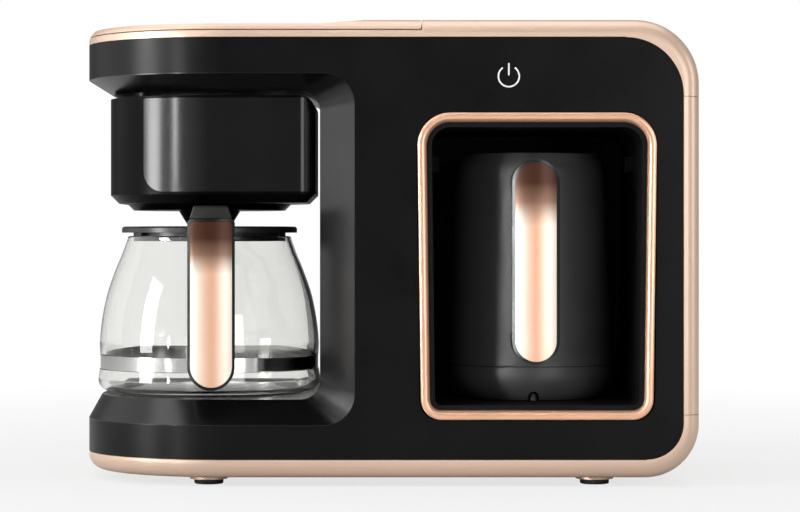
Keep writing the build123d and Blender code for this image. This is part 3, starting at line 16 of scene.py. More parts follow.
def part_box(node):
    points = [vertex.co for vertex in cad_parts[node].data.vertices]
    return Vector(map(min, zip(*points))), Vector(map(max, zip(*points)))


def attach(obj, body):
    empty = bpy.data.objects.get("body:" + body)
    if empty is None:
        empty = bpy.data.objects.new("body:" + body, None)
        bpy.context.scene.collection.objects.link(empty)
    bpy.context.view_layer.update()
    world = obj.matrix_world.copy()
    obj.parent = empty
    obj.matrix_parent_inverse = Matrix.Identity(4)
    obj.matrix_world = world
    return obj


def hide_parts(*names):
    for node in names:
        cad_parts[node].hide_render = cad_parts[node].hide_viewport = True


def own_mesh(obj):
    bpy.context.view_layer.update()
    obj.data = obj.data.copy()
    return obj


bl_info = {
    "name": "Coffee Maker Finishes",
    "version": (1, 0, 0),
    "blender": (4, 5, 0),
    "location": "View3D > Sidebar > Coffee Maker",
    "description": "Dresses the coffee maker, its carafe and its pot, and sets up the studio",
    "category": "Object",
}

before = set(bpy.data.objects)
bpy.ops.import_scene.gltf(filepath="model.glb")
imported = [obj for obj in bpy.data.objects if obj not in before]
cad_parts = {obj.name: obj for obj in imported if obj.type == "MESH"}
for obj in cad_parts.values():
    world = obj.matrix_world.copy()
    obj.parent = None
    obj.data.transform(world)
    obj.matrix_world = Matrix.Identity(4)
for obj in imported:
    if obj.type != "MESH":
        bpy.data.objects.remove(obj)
bpy.context.view_layer.update()

MM = 0.001


def box_middle(node):
    """Middle of a solid's box."""
    low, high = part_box(node)
    return [(a + b) / 2 for a, b in zip(low, high)]


FRONT_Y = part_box("front_fascia")[0][1]
FLOOR_OF_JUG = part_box("carafe_glass")[0][2]
JUG_AXIS = box_middle("carafe_glass")[:2]

# Grain of each moulding: cells to a metre, and their depth.
SATIN_GRAIN = (5000.0, 0.006 * MM)
GLOSS_GRAIN = (900.0, 0.001 * MM)
COARSE_GRAIN = (2500.0, 0.015 * MM)
PRINT_GRAIN = (3000.0, 0.004 * MM)
RUBBER_GRAIN = (2500.0, 0.02 * MM)
HOSE_GRAIN = (1200.0, 0.01 * MM)
COAT_GRAIN = (2200.0, 0.012 * MM)
BOARD_GRAIN = (1500.0, 0.01 * MM)

# Marks of each metal, in the same way.
POLISH_MARKS = (900.0, 0.002 * MM)
MESH_MARKS = (1800.0, 0.002 * MM)
CAST_MARKS = (1500.0, 0.02 * MM)
COPPER_MARKS = (40.0, 0.0001 * MM)

# How a pattern is drawn out: the smaller a number, the longer its marks run along that axis.
EVEN = (1.0, 1.0, 1.0)
UPRIGHT = (1.0, 1.0, 0.1)
LEVEL = (0.1, 1.0, 1.0)
DEEP_DRAWN = (1.0, 1.0, 0.05)

# Nearly all of a noise lies between these two.
NOISE_LOW, NOISE_HIGH = 0.3, 0.7

# Handle inserts, as shares of their height: where the painted shade on the copper begins, is at half strength
# and is darkest.
# As shares of their width: where the pale painted highlight of the side begins to give way to the copper, and
# where it has gone.
PAINTED_SHADE_START, PAINTED_SHADE_MIDDLE, PAINTED_SHADE_END = 0.68, 0.80, 0.90
PAINTED_HIGHLIGHT_EDGE, PAINTED_HIGHLIGHT_END = 0.14, 0.46

# Touch mark: the angles that its ring lies between, in degrees, and its bar's ends, in radii of the ring.
RING_START, RING_END = 125, 415
BAR_FOOT, BAR_HEAD = 0.15, 1.2

# Crown of the niche's moulding: how far in from its outer edge, and how far behind its crest.
FRAME_CROWN = ((0.0, 1.5 * MM), (0.2 * MM, 0.8 * MM), (0.7 * MM, 0.25 * MM), (1.5 * MM, 0.03 * MM),
               (2.4 * MM, 0.0), (3.2 * MM, 0.1 * MM), (3.9 * MM, 0.5 * MM), (4.6 * MM, 1.7 * MM))
FRAME_LIP = 4.4 * MM

# Drip spring: how much of a turn lies flat at each end, and the mesh's steps in a turn.
SPRING_FLAT = 0.6
SPRING_STEPS = 28

# Thumb lever: its raised pad, how far behind the front end and how far under the crest; where the pad ends;
# half its width at the foot, and how much that narrows with height; how far its edges are rounded; and how
# far it stands back from the front end of its solid.
LEVER_PAD = ((1.1 * MM, 1.2 * MM), (2.6 * MM, 0.2 * MM), (5.0 * MM, 0.0), (8.5 * MM, 0.6 * MM))
LEVER_PAD_END = 15.0 * MM
LEVER_HALF_WIDTH = 12.2 * MM
LEVER_TAPER = 0.33
LEVER_ROUNDING = 0.9 * MM
LEVER_SETBACK = 0.4 * MM
# Only edges along which X changes by less than this are rounded. They are those of the lever's two sides,
# apart from the long ones underneath.
LEVER_SIDE_EDGE = 4.0 * MM

# Jug, as radius and height above its foot: the hollow underside; the middle of the foot's rounding, its
# radius, and the height of that middle inside; the band's seat outside and inside; the wall up to the neck;
# the height of the rim; and the edge of the floor inside, and how much higher the floor is there than in
# its middle.
JUG_UNDERSIDE = ((0.0, 1.2 * MM), (52.0 * MM, 1.2 * MM), (55.0 * MM, 0.2 * MM), (58.0 * MM, 0.0))
JUG_FOOT_MIDDLE = (60.8 * MM, 7.0 * MM)
JUG_FOOT_RADIUS = 7.0 * MM
JUG_FOOT_INSIDE = 7.6 * MM
JUG_SEAT = ((67.0 * MM, 13.3 * MM), (65.7 * MM, 13.5 * MM), (65.7 * MM, 21.9 * MM), (66.7 * MM, 22.1 * MM))
JUG_SEAT_INSIDE = ((65.9 * MM, 22.1 * MM), (66.3 * MM, 13.3 * MM))
JUG_WALL = ((66.9 * MM, 29.0 * MM), (66.3 * MM, 37.0 * MM), (64.7 * MM, 48.0 * MM), (62.0 * MM, 60.0 * MM),
            (57.4 * MM, 73.3 * MM), (53.4 * MM, 83.0 * MM), (49.9 * MM, 92.6 * MM))
JUG_RIM = 94.1 * MM
JUG_FLOOR_EDGE = 50.0 * MM
JUG_FLOOR_RISE = 0.3 * MM

# Edges that turn by more than this stay sharp.
SHARP_ANGLE = math.radians(35)

# Direction of the bright side of the studio's room.
BRIGHT_SIDE = (-0.90, -0.30, 0.30)


def colour_property(name, description, colour):
    """A colour that the user may change."""
    return FloatVectorProperty(name=name, description=description, default=colour, subtype="COLOR",
                               min=0, max=1)


def length_property(name, description, metres):
    """A length that the user may change."""
    return FloatProperty(name=name, description=description, default=metres, unit="LENGTH", precision=5)


def power_property(name, description, watts):
    """A lamp's power that the user may change."""
    return FloatProperty(name=name, description=description, default=watts, unit="POWER", min=0)


class CoffeeMakerColours(bpy.types.PropertyGroup):
    """Colours of the coffee maker's finishes."""
    rose: colour_property("Rose Lacquer", "Tray, side panel, top and tank lid", (0.60, 0.43, 0.33))
    satin_black: colour_property("Satin Black", "Front, rear cover and handles", (0.0032, 0.0031, 0.0033))
    pot_black: colour_property("Pot Black", "Coat of the pot", (0.044, 0.044, 0.043))
    lid_grey: colour_property("Lid Grey", "Lid and lever of the carafe", (0.018, 0.018, 0.0175))
    drum_black: colour_property("Drum Black", "Shell of the swing-out drum", (0.0014, 0.0014, 0.0014))
    screw_black: colour_property("Screw Black", "Blackened screws of the housing", (0.055, 0.055, 0.057))
    gloss_black: colour_property("Gloss Black", "Bay, drum front, outlet, sensors", (0.0028, 0.0028, 0.0029))
    niche_black: colour_property("Niche Black", "Niche tub, deck and lid lining", (0.0022, 0.0022, 0.0024))
    copper: colour_property("Copper", "Niche moulding and middle of the inserts", (0.80, 0.465, 0.31))
    # Painted shade: the dark colour painted on the inserts' upper end stands in for shade.
    copper_painted_shade: colour_property("Copper Shade", "Dark upper end of the inserts", (0.055, 0.018, 0.009))
    # Painted highlight: the pale colour painted on the inserts' long sides stands in for a reflection of the
    # lamps.
    copper_painted_highlight: colour_property("Copper Glow", "Bright sides of the inserts", (0.82, 0.72, 0.62))
    steel: colour_property("Steel", "Carafe band, pins, springs and pot lining", (0.72, 0.72, 0.71))
    aluminium: colour_property("Aluminium", "Cast heaters", (0.60, 0.61, 0.62))
    plate: colour_property("Plate Coat", "Coat of the warming plate", (0.018, 0.018, 0.019))
    glass: colour_property("Glass", "Tint of the jug", (0.90, 0.905, 0.885))
    rubber: colour_property("Rubber", "Feet, gland, seals and drip valve", (0.012, 0.012, 0.012))
    silicone: colour_property("Silicone", "Water hoses", (0.66, 0.64, 0.58))
    pale_plastic: colour_property("Pale Plastic", "Tank, shower head and sensor", (0.55, 0.55, 0.53))
    dark_plastic: colour_property("Dark Plastic", "Basket, dock, rail and buzzer", (0.022, 0.022, 0.022))
    board: colour_property("Board", "Solder mask of the circuit boards", (0.012, 0.085, 0.035))
    mark: colour_property("Touch Mark", "Printed standby mark", (0.62, 0.62, 0.61))
    floor: colour_property("Floor", "Plain floor of the studio", (0.50, 0.50, 0.50))


class CoffeeMakerSizes(bpy.types.PropertyGroup):
    """Sizes of the pieces that are made here."""
    jug_wall: length_property("Jug Wall", "Thickness of the glass", 2.4 * MM)
    jug_base: length_property("Jug Base", "Thickness of the glass in the jug's base", 3.4 * MM)
    frame_band: length_property("Frame Band", "Width of the niche's moulding", 5.7 * MM)
    frame_taper: length_property("Frame Taper", "How much each side closes in to the bottom", 1.95 * MM)
    frame_top_radius: length_property("Frame Top Radius", "Upper corners of the moulding", 19.0 * MM)
    frame_bottom_radius: length_property("Frame Bottom Radius", "Lower corners of the moulding", 12.0 * MM)
    lever_crest: length_property("Lever Crest", "Height of the thumb lever's raised end", 7.2 * MM)
    spring_wire: length_property("Spring Wire", "Diameter of the drip spring's wire", 0.9 * MM)
    spring_turns: FloatProperty(name="Spring Turns", description="Turns of the drip spring",
                                default=3.5, min=2)
    mark_x: length_property("Mark X", "Middle of the touch mark from the machine's middle", 70.0 * MM)
    mark_z: length_property("Mark Z", "Middle of the touch mark above the floor", 236.0 * MM)
    mark_radius: length_property("Mark Radius", "Radius of the broken ring", 6.0 * MM)
    mark_line: length_property("Mark Line", "Width of the printed line", 0.9 * MM)
    mark_rise: length_property("Mark Rise", "Thickness of the print", 0.12 * MM)


class CoffeeMakerStudio(bpy.types.PropertyGroup):
    """Light of the studio."""
    left_power: power_property("Left Softbox", "Power of the softbox at the left", 18.0)
    front_power: power_property("Front Softbox", "Power of the narrow softbox at the left front", 0.25)
    niche_power: power_property("Niche Softbox", "Power of the softbox that fills the niche", 4.5)
    right_power: power_property("Right Softbox", "Power of the softbox at the right", 5.0)
    top_power: power_property("Top Softbox", "Power of the softbox above", 26.0)
    room_light: FloatProperty(name="Room Light", description="Strength of the light from all sides",
                              default=0.62, min=0)


# ---- nodes of the materials ---------------------------------------------------------------
def blank_finish(name):
    """A new material with its node tree and its shader."""
    material = bpy.data.materials.new(name)
    material.use_nodes = True
    return material, material.node_tree, material.node_tree.nodes["Principled BSDF"]


def pattern(tree, cells, detail=2.0, stretch=EVEN):
    """Noise fixed to the piece, with so many cells to a metre."""
    place = tree.nodes.new("ShaderNodeTexCoord")
    turn = tree.nodes.new("ShaderNodeMapping")
    turn.inputs["Scale"].default_value = stretch
    noise = tree.nodes.new("ShaderNodeTexNoise")
    noise.inputs["Scale"].default_value = cells
    noise.inputs["Detail"].default_value = detail
    tree.links.new(place.outputs["Object"], turn.inputs["Vector"])
    tree.links.new(turn.outputs["Vector"], noise.inputs["Vector"])
    return noise.outputs["Fac"]


def mapped(tree, value, start, end, low=0.0, high=1.0):
    """A number that goes from low to high while another goes from start to end."""
    span = tree.nodes.new("ShaderNodeMapRange")
    span.inputs["From Min"].default_value = start
    span.inputs["From Max"].default_value = end
    span.inputs["To Min"].default_value = low
    span.inputs["To Max"].default_value = high
    tree.links.new(value, span.inputs["Value"])
    return span.outputs["Result"]


def between(tree, share, low, high):
    """A number that follows a pattern from low to high."""
    return mapped(tree, share, NOISE_LOW, NOISE_HIGH, low, high)


def along(tree, coordinate, start, end):
    """How far a point lies from start to end along X, Y or Z of the piece, from 0 to 1."""
    place = tree.nodes.new("ShaderNodeTexCoord")
    parts = tree.nodes.new("ShaderNodeSeparateXYZ")
    tree.links.new(place.outputs["Object"], parts.inputs["Vector"])
    return mapped(tree, parts.outputs[coordinate], start, end)


def ramp(tree, share, stops):
    """Colours along a ramp: each stop is a place from 0 to 1 and its colour."""
    node = tree.nodes.new("ShaderNodeValToRGB")
    while len(node.color_ramp.elements) < len(stops):
        node.color_ramp.elements.new(0.5)
    for stop, (at, colour) in zip(node.color_ramp.elements, stops):
        stop.position = at
        stop.color = (*colour, 1.0)
    tree.links.new(share, node.inputs["Fac"])
    return node.outputs["Color"]


def tones(tree, share, colour, spread):
    """A colour that wavers with a pattern, a little darker and a little lighter."""
    dark, light = ([min(1.0, part * gain) for part in colour] for gain in (1 - spread, 1 + spread))
    return ramp(tree, share, [(NOISE_LOW, dark), (NOISE_HIGH, light)])


def relief(tree, share, height):
    """Bumps of so many metres, for the shader's normal."""
    bump = tree.nodes.new("ShaderNodeBump")
    bump.inputs["Strength"].default_value = 1.0
    bump.inputs["Distance"].default_value = height
    tree.links.new(share, bump.inputs["Height"])
    return bump.outputs["Normal"]


def mixed(tree, share, first, second):
    """One colour over another, by a share from 0 to 1."""
    mix = tree.nodes.new("ShaderNodeMix")
    mix.data_type = "RGBA"
    colour_inputs = [socket for socket in mix.inputs if socket.type == "RGBA"]
    colour_output = next(socket for socket in mix.outputs if socket.type == "RGBA")
    tree.links.new(share, mix.inputs[0])
    tree.links.new(first, colour_inputs[0])
    tree.links.new(second, colour_inputs[1])
    return colour_output


def shader_mixed(tree, share, first, second):
    """One shader over another, by a share from 0 to 1."""
    mix = tree.nodes.new("ShaderNodeMixShader")
    tree.links.new(share, mix.inputs["Fac"])
    tree.links.new(first, mix.inputs[1])
    tree.links.new(second, mix.inputs[2])
    return mix.outputs["Shader"]


def reckoned(tree, operation, first, second):
    """Two numbers put together by one operation."""
    node = tree.nodes.new("ShaderNodeMath")
    node.operation = operation
    tree.links.new(first, node.inputs[0])
    tree.links.new(second, node.inputs[1])
    return node.outputs["Value"]


def seen_ray(tree):
    """1 for what is seen directly or through glass."""
    path = tree.nodes.new("ShaderNodeLightPath")
    return reckoned(tree, "MAXIMUM", path.outputs["Is Camera Ray"], path.outputs["Is Transmission Ray"])


# ---- finishes -----------------------------------------------------------------------------
def moulded(name, colour, roughness, specular=0.5, grain=SATIN_GRAIN, waver=0.10):
    """Moulded plastic or rubber: a spark-eroded grain over a slow change in gloss."""
    cells, depth = grain
    material, tree, shader = blank_finish(name)
    slow = pattern(tree, cells=35.0, detail=3.0)
    fine = pattern(tree, cells)
    tree.links.new(tones(tree, slow, colour, waver), shader.inputs["Base Color"])
    tree.links.new(between(tree, slow, roughness * 0.9, roughness * 1.1), shader.inputs["Roughness"])
    tree.links.new(relief(tree, fine, depth), shader.inputs["Normal"])
    shader.inputs["Specular IOR Level"].default_value = specular
    return material


def lacquered(name, colour):
    """Satin lacquer with fine metal flake under it."""
    material, tree, shader = blank_finish(name)
    flake = pattern(tree, cells=2600.0, detail=1.0)
    slow = pattern(tree, cells=22.0, detail=3.0)
    tree.links.new(tones(tree, flake, colour, spread=0.045), shader.inputs["Base Color"])
    tree.links.new(between(tree, slow, low=0.34, high=0.38), shader.inputs["Roughness"])
    tree.links.new(relief(tree, flake, height=0.003 * MM), shader.inputs["Normal"])
    shader.inputs["Metallic"].default_value = 0.35
    shader.inputs["Coat Weight"].default_value = 0.25
    shader.inputs["Coat Roughness"].default_value = 0.18
    return material


def metal(name, colour, roughness, marks=POLISH_MARKS, stretch=EVEN, metallic=1.0):
    """Metal with fine polishing marks, or with brushed ones where stretch draws them out."""
    cells, depth = marks
    material, tree, shader = blank_finish(name)
    fine = pattern(tree, cells, detail=4.0, stretch=stretch)
    slow = pattern(tree, cells=40.0)
    tree.links.new(tones(tree, slow, colour, spread=0.03), shader.inputs["Base Color"])
    tree.links.new(between(tree, fine, roughness * 0.85, roughness * 1.2), shader.inputs["Roughness"])
    tree.links.new(relief(tree, fine, depth), shader.inputs["Normal"])
    shader.inputs["Metallic"].default_value = metallic
    return material


def copper_with_painted_light(name, node, colours):
    """Copper insert of a handle, with painted shade at its upper end and a painted highlight that makes it
    paler towards its two long sides.
    """
    material, tree, shader = blank_finish(name)
    low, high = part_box(node)
    height = along(tree, "Z", low[2], high[2])
    width = along(tree, "X", low[0], high[0])
    # Half of the painted shade: half as bright as the mean of the two.
    half_painted_shade = [(a + b) / 4 for a, b in zip(colours.copper_painted_shade, colours.copper)]
    middle, sides = (
        ramp(tree, height, [(0.0, colour), (PAINTED_SHADE_START, colour), (PAINTED_SHADE_MIDDLE, half_painted_shade),
                            (PAINTED_SHADE_END, colours.copper_painted_shade)])
        for colour in (colours.copper, colours.copper_painted_highlight))
    black, white = (0.0, 0.0, 0.0), (1.0, 1.0, 1.0)
    # Painted highlight: the two long sides are paler.
    side = ramp(tree, width, [(0.0, white), (PAINTED_HIGHLIGHT_EDGE, white), (PAINTED_HIGHLIGHT_END, black),
                              (1 - PAINTED_HIGHLIGHT_END, black), (1 - PAINTED_HIGHLIGHT_EDGE, white)])
    tree.links.new(mixed(tree, side, middle, sides), shader.inputs["Base Color"])
    slow = pattern(tree, cells=60.0, detail=3.0)
    tree.links.new(between(tree, slow, low=0.30, high=0.34), shader.inputs["Roughness"])
    shader.inputs["Metallic"].default_value = 0.35
    shader.inputs["Specular IOR Level"].default_value = 0.25
    return material


def blown_glass(name, colour):
    """Clear glass with the slow waves of a blown wall."""
    material, tree, shader = blank_finish(name)
    shader.inputs["Base Color"].default_value = (*colour, 1.0)
    shader.inputs["Transmission Weight"].default_value = 1.0
    shader.inputs["IOR"].default_value = 1.47
    haze = pattern(tree, cells=60.0)
    waves = pattern(tree, cells=28.0, detail=1.0)
    tree.links.new(between(tree, haze, low=0.0, high=0.02), shader.inputs["Roughness"])
    tree.links.new(relief(tree, waves, height=0.05 * MM), shader.inputs["Normal"])
    return material


def dress(material, *nodes):
    """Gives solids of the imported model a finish."""
    for node in nodes:
        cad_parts[node].material_slots[0].material = material


# ---- mesh tools ---------------------------------------------------------------------------
def new_piece(name, mesh, material):
    """A piece from a finished mesh, smooth except at its sharp edges."""
    data = bpy.data.meshes.new(name)
    bmesh.ops.recalc_face_normals(mesh, faces=mesh.faces)
    mesh.to_mesh(data)
    mesh.free()
    data.materials.append(material)
    data.polygons.foreach_set("use_smooth", [True] * len(data.polygons))
    data.set_sharp_from_angle(angle=SHARP_ANGLE)
    piece = bpy.data.objects.new(name, data)
    bpy.context.scene.collection.objects.link(piece)
    return piece


def arc(middle, radius, start, end, steps):
    """Points along an arc, from one angle to another in degrees."""
    turns = [math.radians(start + (end - start) * step / steps) for step in range(steps + 1)]
    return [(middle[0] + radius * math.cos(turn), middle[1] + radius * math.sin(turn)) for turn in turns]


def smooth_line(points, steps):
    """A smooth line through some points, with so many steps from one to the next."""
    rows = [Vector(point) for point in points]
    ends = [2 * rows[0] - rows[1]] + rows + [2 * rows[-1] - rows[-2]]
    line = []
    for before, start, end, after in zip(ends, ends[1:], ends[2:], ends[3:]):
        slope = end - before
        bend = 2 * before - 5 * start + 4 * end - after
        twist = 3 * start - before - 3 * end + after
        for step in range(steps):
            t = step / steps
            line.append((2 * start + slope * t + bend * t ** 2 + twist * t ** 3) / 2)
    return [tuple(point) for point in line + [rows[-1]]]


def bridge(mesh, ring, following):
    """Faces between two closed rings of as many points."""
    for here in range(len(ring)):
        there = (here + 1) % len(ring)
        mesh.faces.new((ring[here], ring[there], following[there], following[here]))


def lathe(outline, steps):
    """Closed mesh of revolution from (radius, height) points; the first and the last lie on the axis."""
    mesh = bmesh.new()
    turns = [2 * math.pi * step / steps for step in range(steps)]
    rings = [[mesh.verts.new((radius * math.cos(turn), radius * math.sin(turn), height)) for turn in turns]
             for radius, height in outline[1:-1]]
    for ring, following in zip(rings, rings[1:]):
        bridge(mesh, ring, following)
    for ring, (_, height) in ((rings[0], outline[0]), (rings[-1], outline[-1])):
        middle = mesh.verts.new((0.0, 0.0, height))
        for here in range(steps):
            mesh.faces.new((ring[here], ring[(here + 1) % steps], middle))
    return mesh


def closed_band(lines):
    """Closed mesh through closed lines of points, each joined to the next and the last to the first."""
    mesh = bmesh.new()
    rings = [[mesh.verts.new(point) for point in line] for line in lines]
    for ring, following in zip(rings, rings[1:] + rings[:1]):
        bridge(mesh, ring, following)
    return mesh


def slab(near, far):
    """Closed mesh between two outlines of as many points."""
    mesh = bmesh.new()
    near_ring = [mesh.verts.new(point) for point in near]
    far_ring = [mesh.verts.new(point) for point in far]
    mesh.faces.new(near_ring)
    mesh.faces.new(far_ring[::-1])
    bridge(mesh, far_ring, near_ring)
    return mesh


def coil(radius, wire, height, turns):
    """Compression spring of round wire, whose end turns lie flat; wire is the wire's radius."""
    mesh = bmesh.new()
    section = arc((0.0, 0.0), wire, 0, 360, steps=10)[:-1]
    steps = round(turns * SPRING_STEPS)
    rings = []
    for step in range(steps + 1):
        at = turns * step / steps
        rise = min(1.0, max(0.0, (at - SPRING_FLAT) / (turns - 2 * SPRING_FLAT)))
        out = Vector((math.cos(2 * math.pi * at), math.sin(2 * math.pi * at), 0.0))
        rings.append([mesh.verts.new(out * (radius + across) + Vector((0.0, 0.0, height * rise + up)))
                      for across, up in section])
    for ring, following in zip(rings, rings[1:]):
        bridge(mesh, ring, following)
    mesh.faces.new(rings[0])
    mesh.faces.new(rings[-1][::-1])
    return mesh


# ---- operators ----------------------------------------------------------------------------
class DressHousing(bpy.types.Operator):
    """Lacquer the tray, the end panel, the top and the lid"""
    bl_idname = "coffee_maker.dress_housing"
    bl_label = "Housing"

    def execute(self, context):
        colours = context.scene.coffee_maker_colours
        rose = lacquered("rose_lacquer", colours.rose)
        dress(rose, "base_tray", "right_side_panel", "top_cover", "tank_lid")
        return {"FINISHED"}


class DressFront(bpy.types.Operator):
    """Give the front, the back and the bay their black mouldings"""
    bl_idname = "coffee_maker.dress_front"
    bl_label = "Front and Bay"

    def execute(self, context):
        colours = context.scene.coffee_maker_colours
        front = moulded("front_satin", colours.satin_black, roughness=0.30, specular=0.13)
        back = moulded("back_satin", colours.satin_black, roughness=0.55, specular=0.35, grain=COARSE_GRAIN)
        bay = moulded("bay_gloss", colours.gloss_black, roughness=0.22, specular=0.38, grain=GLOSS_GRAIN)
        dress(front, "front_fascia")
        dress(back, "rear_cover")
        dress(bay, "bay_liner")
        return {"FINISHED"}


class MakeTouchMark(bpy.types.Operator):
    """Print a plain standby mark on the front, over the touch board"""
    bl_idname = "coffee_maker.make_touch_mark"
    bl_label = "Touch Mark"

    def execute(self, context):
        colours = context.scene.coffee_maker_colours
        sizes = context.scene.coffee_maker_sizes
        material = moulded("mark_print", colours.mark, roughness=0.45, specular=0.4, grain=PRINT_GRAIN,
                           waver=0.03)
        for name, outline in (("mark_ring", ring_outline(sizes)), ("mark_bar", bar_outline(sizes))):
            near = [(x, FRONT_Y - sizes.mark_rise, z) for x, z in outline]
            far = [(x, FRONT_Y, z) for x, z in outline]
            piece = new_piece(name, slab(near, far), material)
            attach(piece, "root")
        return {"FINISHED"}


def ring_outline(sizes):
    """Broken ring of the touch mark in X and Z, open at the top."""
    middle = (sizes.mark_x, sizes.mark_z)
    half = sizes.mark_line / 2
    outer = arc(middle, sizes.mark_radius + half, RING_START, RING_END, steps=48)
    inner = arc(middle, sizes.mark_radius - half, RING_END, RING_START, steps=48)
    return outer + inner


def bar_outline(sizes):
    """Upright bar of the touch mark in X and Z, with round ends."""
    half = sizes.mark_line / 2
    foot = (sizes.mark_x, sizes.mark_z + sizes.mark_radius * BAR_FOOT)
    head = (sizes.mark_x, sizes.mark_z + sizes.mark_radius * BAR_HEAD)
    return arc(foot, half, 180, 360, steps=8) + arc(head, half, 0, 180, steps=8)


class MakeNicheFrame(bpy.types.Operator):
    """Draw the crowned copper moulding round the niche"""
    bl_idname = "coffee_maker.make_niche_frame"
    bl_label = "Niche Frame"

    def execute(self, context):
        colours = context.scene.coffee_maker_colours
        sizes = context.scene.coffee_maker_sizes
        low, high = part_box("niche_frame")
        band = sizes.frame_band
        deep = high[1] - low[1]
        crown = smooth_line([*FRAME_CROWN, (band, FRAME_LIP)], steps=3)
        section = [(0.0, deep), *crown, (band, deep)]
        # The smooth crown swings a hair past its crest, and is cut back to it.
        lines = [[(x, low[1] + max(back, 0.0), z) for x, z in frame_line(low, high, sizes, inset)]
                 for inset, back in section]
        copper = metal("frame_copper", colours.copper, roughness=0.20, marks=COPPER_MARKS, metallic=0.5)
        piece = new_piece("niche_moulding", closed_band(lines), copper)
        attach(piece, "root")
        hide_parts("niche_frame")
        return {"FINISHED"}


def frame_line(low, high, sizes, inset):
    """Outline of the niche's moulding in X and Z, drawn in by inset; it closes in a little to the bottom."""
    middle = (low[0] + high[0]) / 2
    top, bottom = sizes.frame_top_radius, sizes.frame_bottom_radius
    half_top = (high[0] - low[0]) / 2
    half_bottom = half_top - sizes.frame_taper
    corners = ((half_bottom - bottom, low[2] + bottom, bottom, -90),
               (half_top - top, high[2] - top, top, 0),
               (top - half_top, high[2] - top, top, 90),
               (bottom - half_bottom, low[2] + bottom, bottom, 180))
    line = []
    for x, z, radius, start in corners:
        line += arc((middle + x, z), radius - inset, start, start + 90, steps=14)
    return line


class DressNiche(bpy.types.Operator):
    """Darken the tub behind the niche frame and finish what it holds"""
    bl_idname = "coffee_maker.dress_niche"
    bl_label = "Niche"

    def execute(self, context):
        colours = context.scene.coffee_maker_colours
        tub = moulded("tub_black", colours.niche_black, roughness=0.55, specular=0.12)
        sensor = moulded("sensor_gloss", colours.gloss_black, roughness=0.12, specular=0.12,
                         grain=GLOSS_GRAIN)
        dock = moulded("dock_black", colours.dark_plastic, roughness=0.5, specular=0.3)
        rail = moulded("rail_dark", colours.dark_plastic, roughness=0.4, specular=0.4)
        dress(tub, "niche_liner")
        dress(sensor, "foam_sensors")
        dress(dock, "dock_contacts")
        dress(rail, "pot_rail")
        return {"FINISHED"}


class DressBrewUnit(bpy.types.Operator):
    """Finish the swing-out drum, its basket, its outlet and its drip valve"""
    bl_idname = "coffee_maker.dress_brew_unit"
    bl_label = "Brew Unit"

    def execute(self, context):
        colours = context.scene.coffee_maker_colours
        drum = moulded("drum_satin", colours.drum_black, roughness=0.26, specular=0.04)
        front = moulded("drum_gloss", colours.gloss_black, roughness=0.20, specular=0.36, grain=GLOSS_GRAIN)
        outlet = moulded("outlet_gloss", colours.gloss_black, roughness=0.22, specular=0.4,
                         grain=GLOSS_GRAIN)
        basket = moulded("basket_dark", colours.dark_plastic, roughness=0.45, specular=0.4)
        gauze = metal("mesh_steel", colours.steel, roughness=0.3, marks=MESH_MARKS)
        valve = moulded("valve_rubber", colours.rubber, roughness=0.7, specular=0.3, grain=RUBBER_GRAIN)
        pin = metal("pin_steel", colours.steel, roughness=0.15, stretch=UPRIGHT)
        shower = moulded("shower_pale", colours.pale_plastic, roughness=0.45, specular=0.4)
        dress(drum, "filter_holder")
        dress(front, "holder_front")
        dress(outlet, "drip_outlet")
        dress(basket, "filter_basket")
        dress(gauze, "mesh_filter")
        dress(valve, "drip_valve")
        dress(pin, "holder_pivot")
        dress(shower, "shower_head")
        return {"FINISHED"}


class MakeDripSpring(bpy.types.Operator):
    """Wind the drip valve's spring, which rides on the valve"""
    bl_idname = "coffee_maker.make_drip_spring"
    bl_label = "Drip Spring"

    def execute(self, context):
        colours = context.scene.coffee_maker_colours
        sizes = context.scene.coffee_maker_sizes
        low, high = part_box("valve_spring")
        middle = box_middle("valve_spring")
        wire = sizes.spring_wire / 2
        radius = (high[0] - low[0]) / 2 - wire
        mesh = coil(radius, wire, high[2] - low[2] - 2 * wire, sizes.spring_turns)
        bmesh.ops.translate(mesh, verts=mesh.verts, vec=(*middle[:2], low[2] + wire))
        spring = new_piece("drip_spring", mesh, metal("spring_steel", colours.steel, roughness=0.2))
        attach(spring, "valve")
        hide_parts("valve_spring")
        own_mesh(spring)
        return {"FINISHED"}


class DressWaterPath(bpy.types.Operator):
    """Finish the tank, the hoses, the heater and the warming plate"""
    bl_idname = "coffee_maker.dress_water_path"
    bl_label = "Water and Heat"

    def execute(self, context):
        colours = context.scene.coffee_maker_colours
        tank = moulded("tank_pale", colours.pale_plastic, roughness=0.35, specular=0.45)
        seal = moulded("seal_rubber", colours.rubber, roughness=0.75, specular=0.3, grain=RUBBER_GRAIN)
        hose = moulded("hose_silicone", colours.silicone, roughness=0.4, specular=0.45, grain=HOSE_GRAIN)
        casting = metal("cast_aluminium", colours.aluminium, roughness=0.5, marks=CAST_MARKS)
        clamp = metal("clamp_steel", colours.steel, roughness=0.35, stretch=LEVEL)
        coat = moulded("plate_coat", colours.plate, roughness=0.38, specular=0.5, grain=COAT_GRAIN)
        deck = moulded("deck_black", colours.niche_black, roughness=0.5, specular=0.3)
        hinge = metal("hinge_steel", colours.steel, roughness=0.2, stretch=LEVEL)
        dress(tank, "water_tank", "check_valve", "thermal_fuse")
        dress(seal, "tank_seal", "plate_seal")
        dress(hose, "tank_hose", "riser_hose")
        dress(casting, "flow_heater")
        dress(clamp, "heater_clamp", "thermostat")
        dress(coat, "warming_plate")
        dress(deck, "top_deck", "lid_liner")
        dress(hinge, "lid_pins")
        return {"FINISHED"}


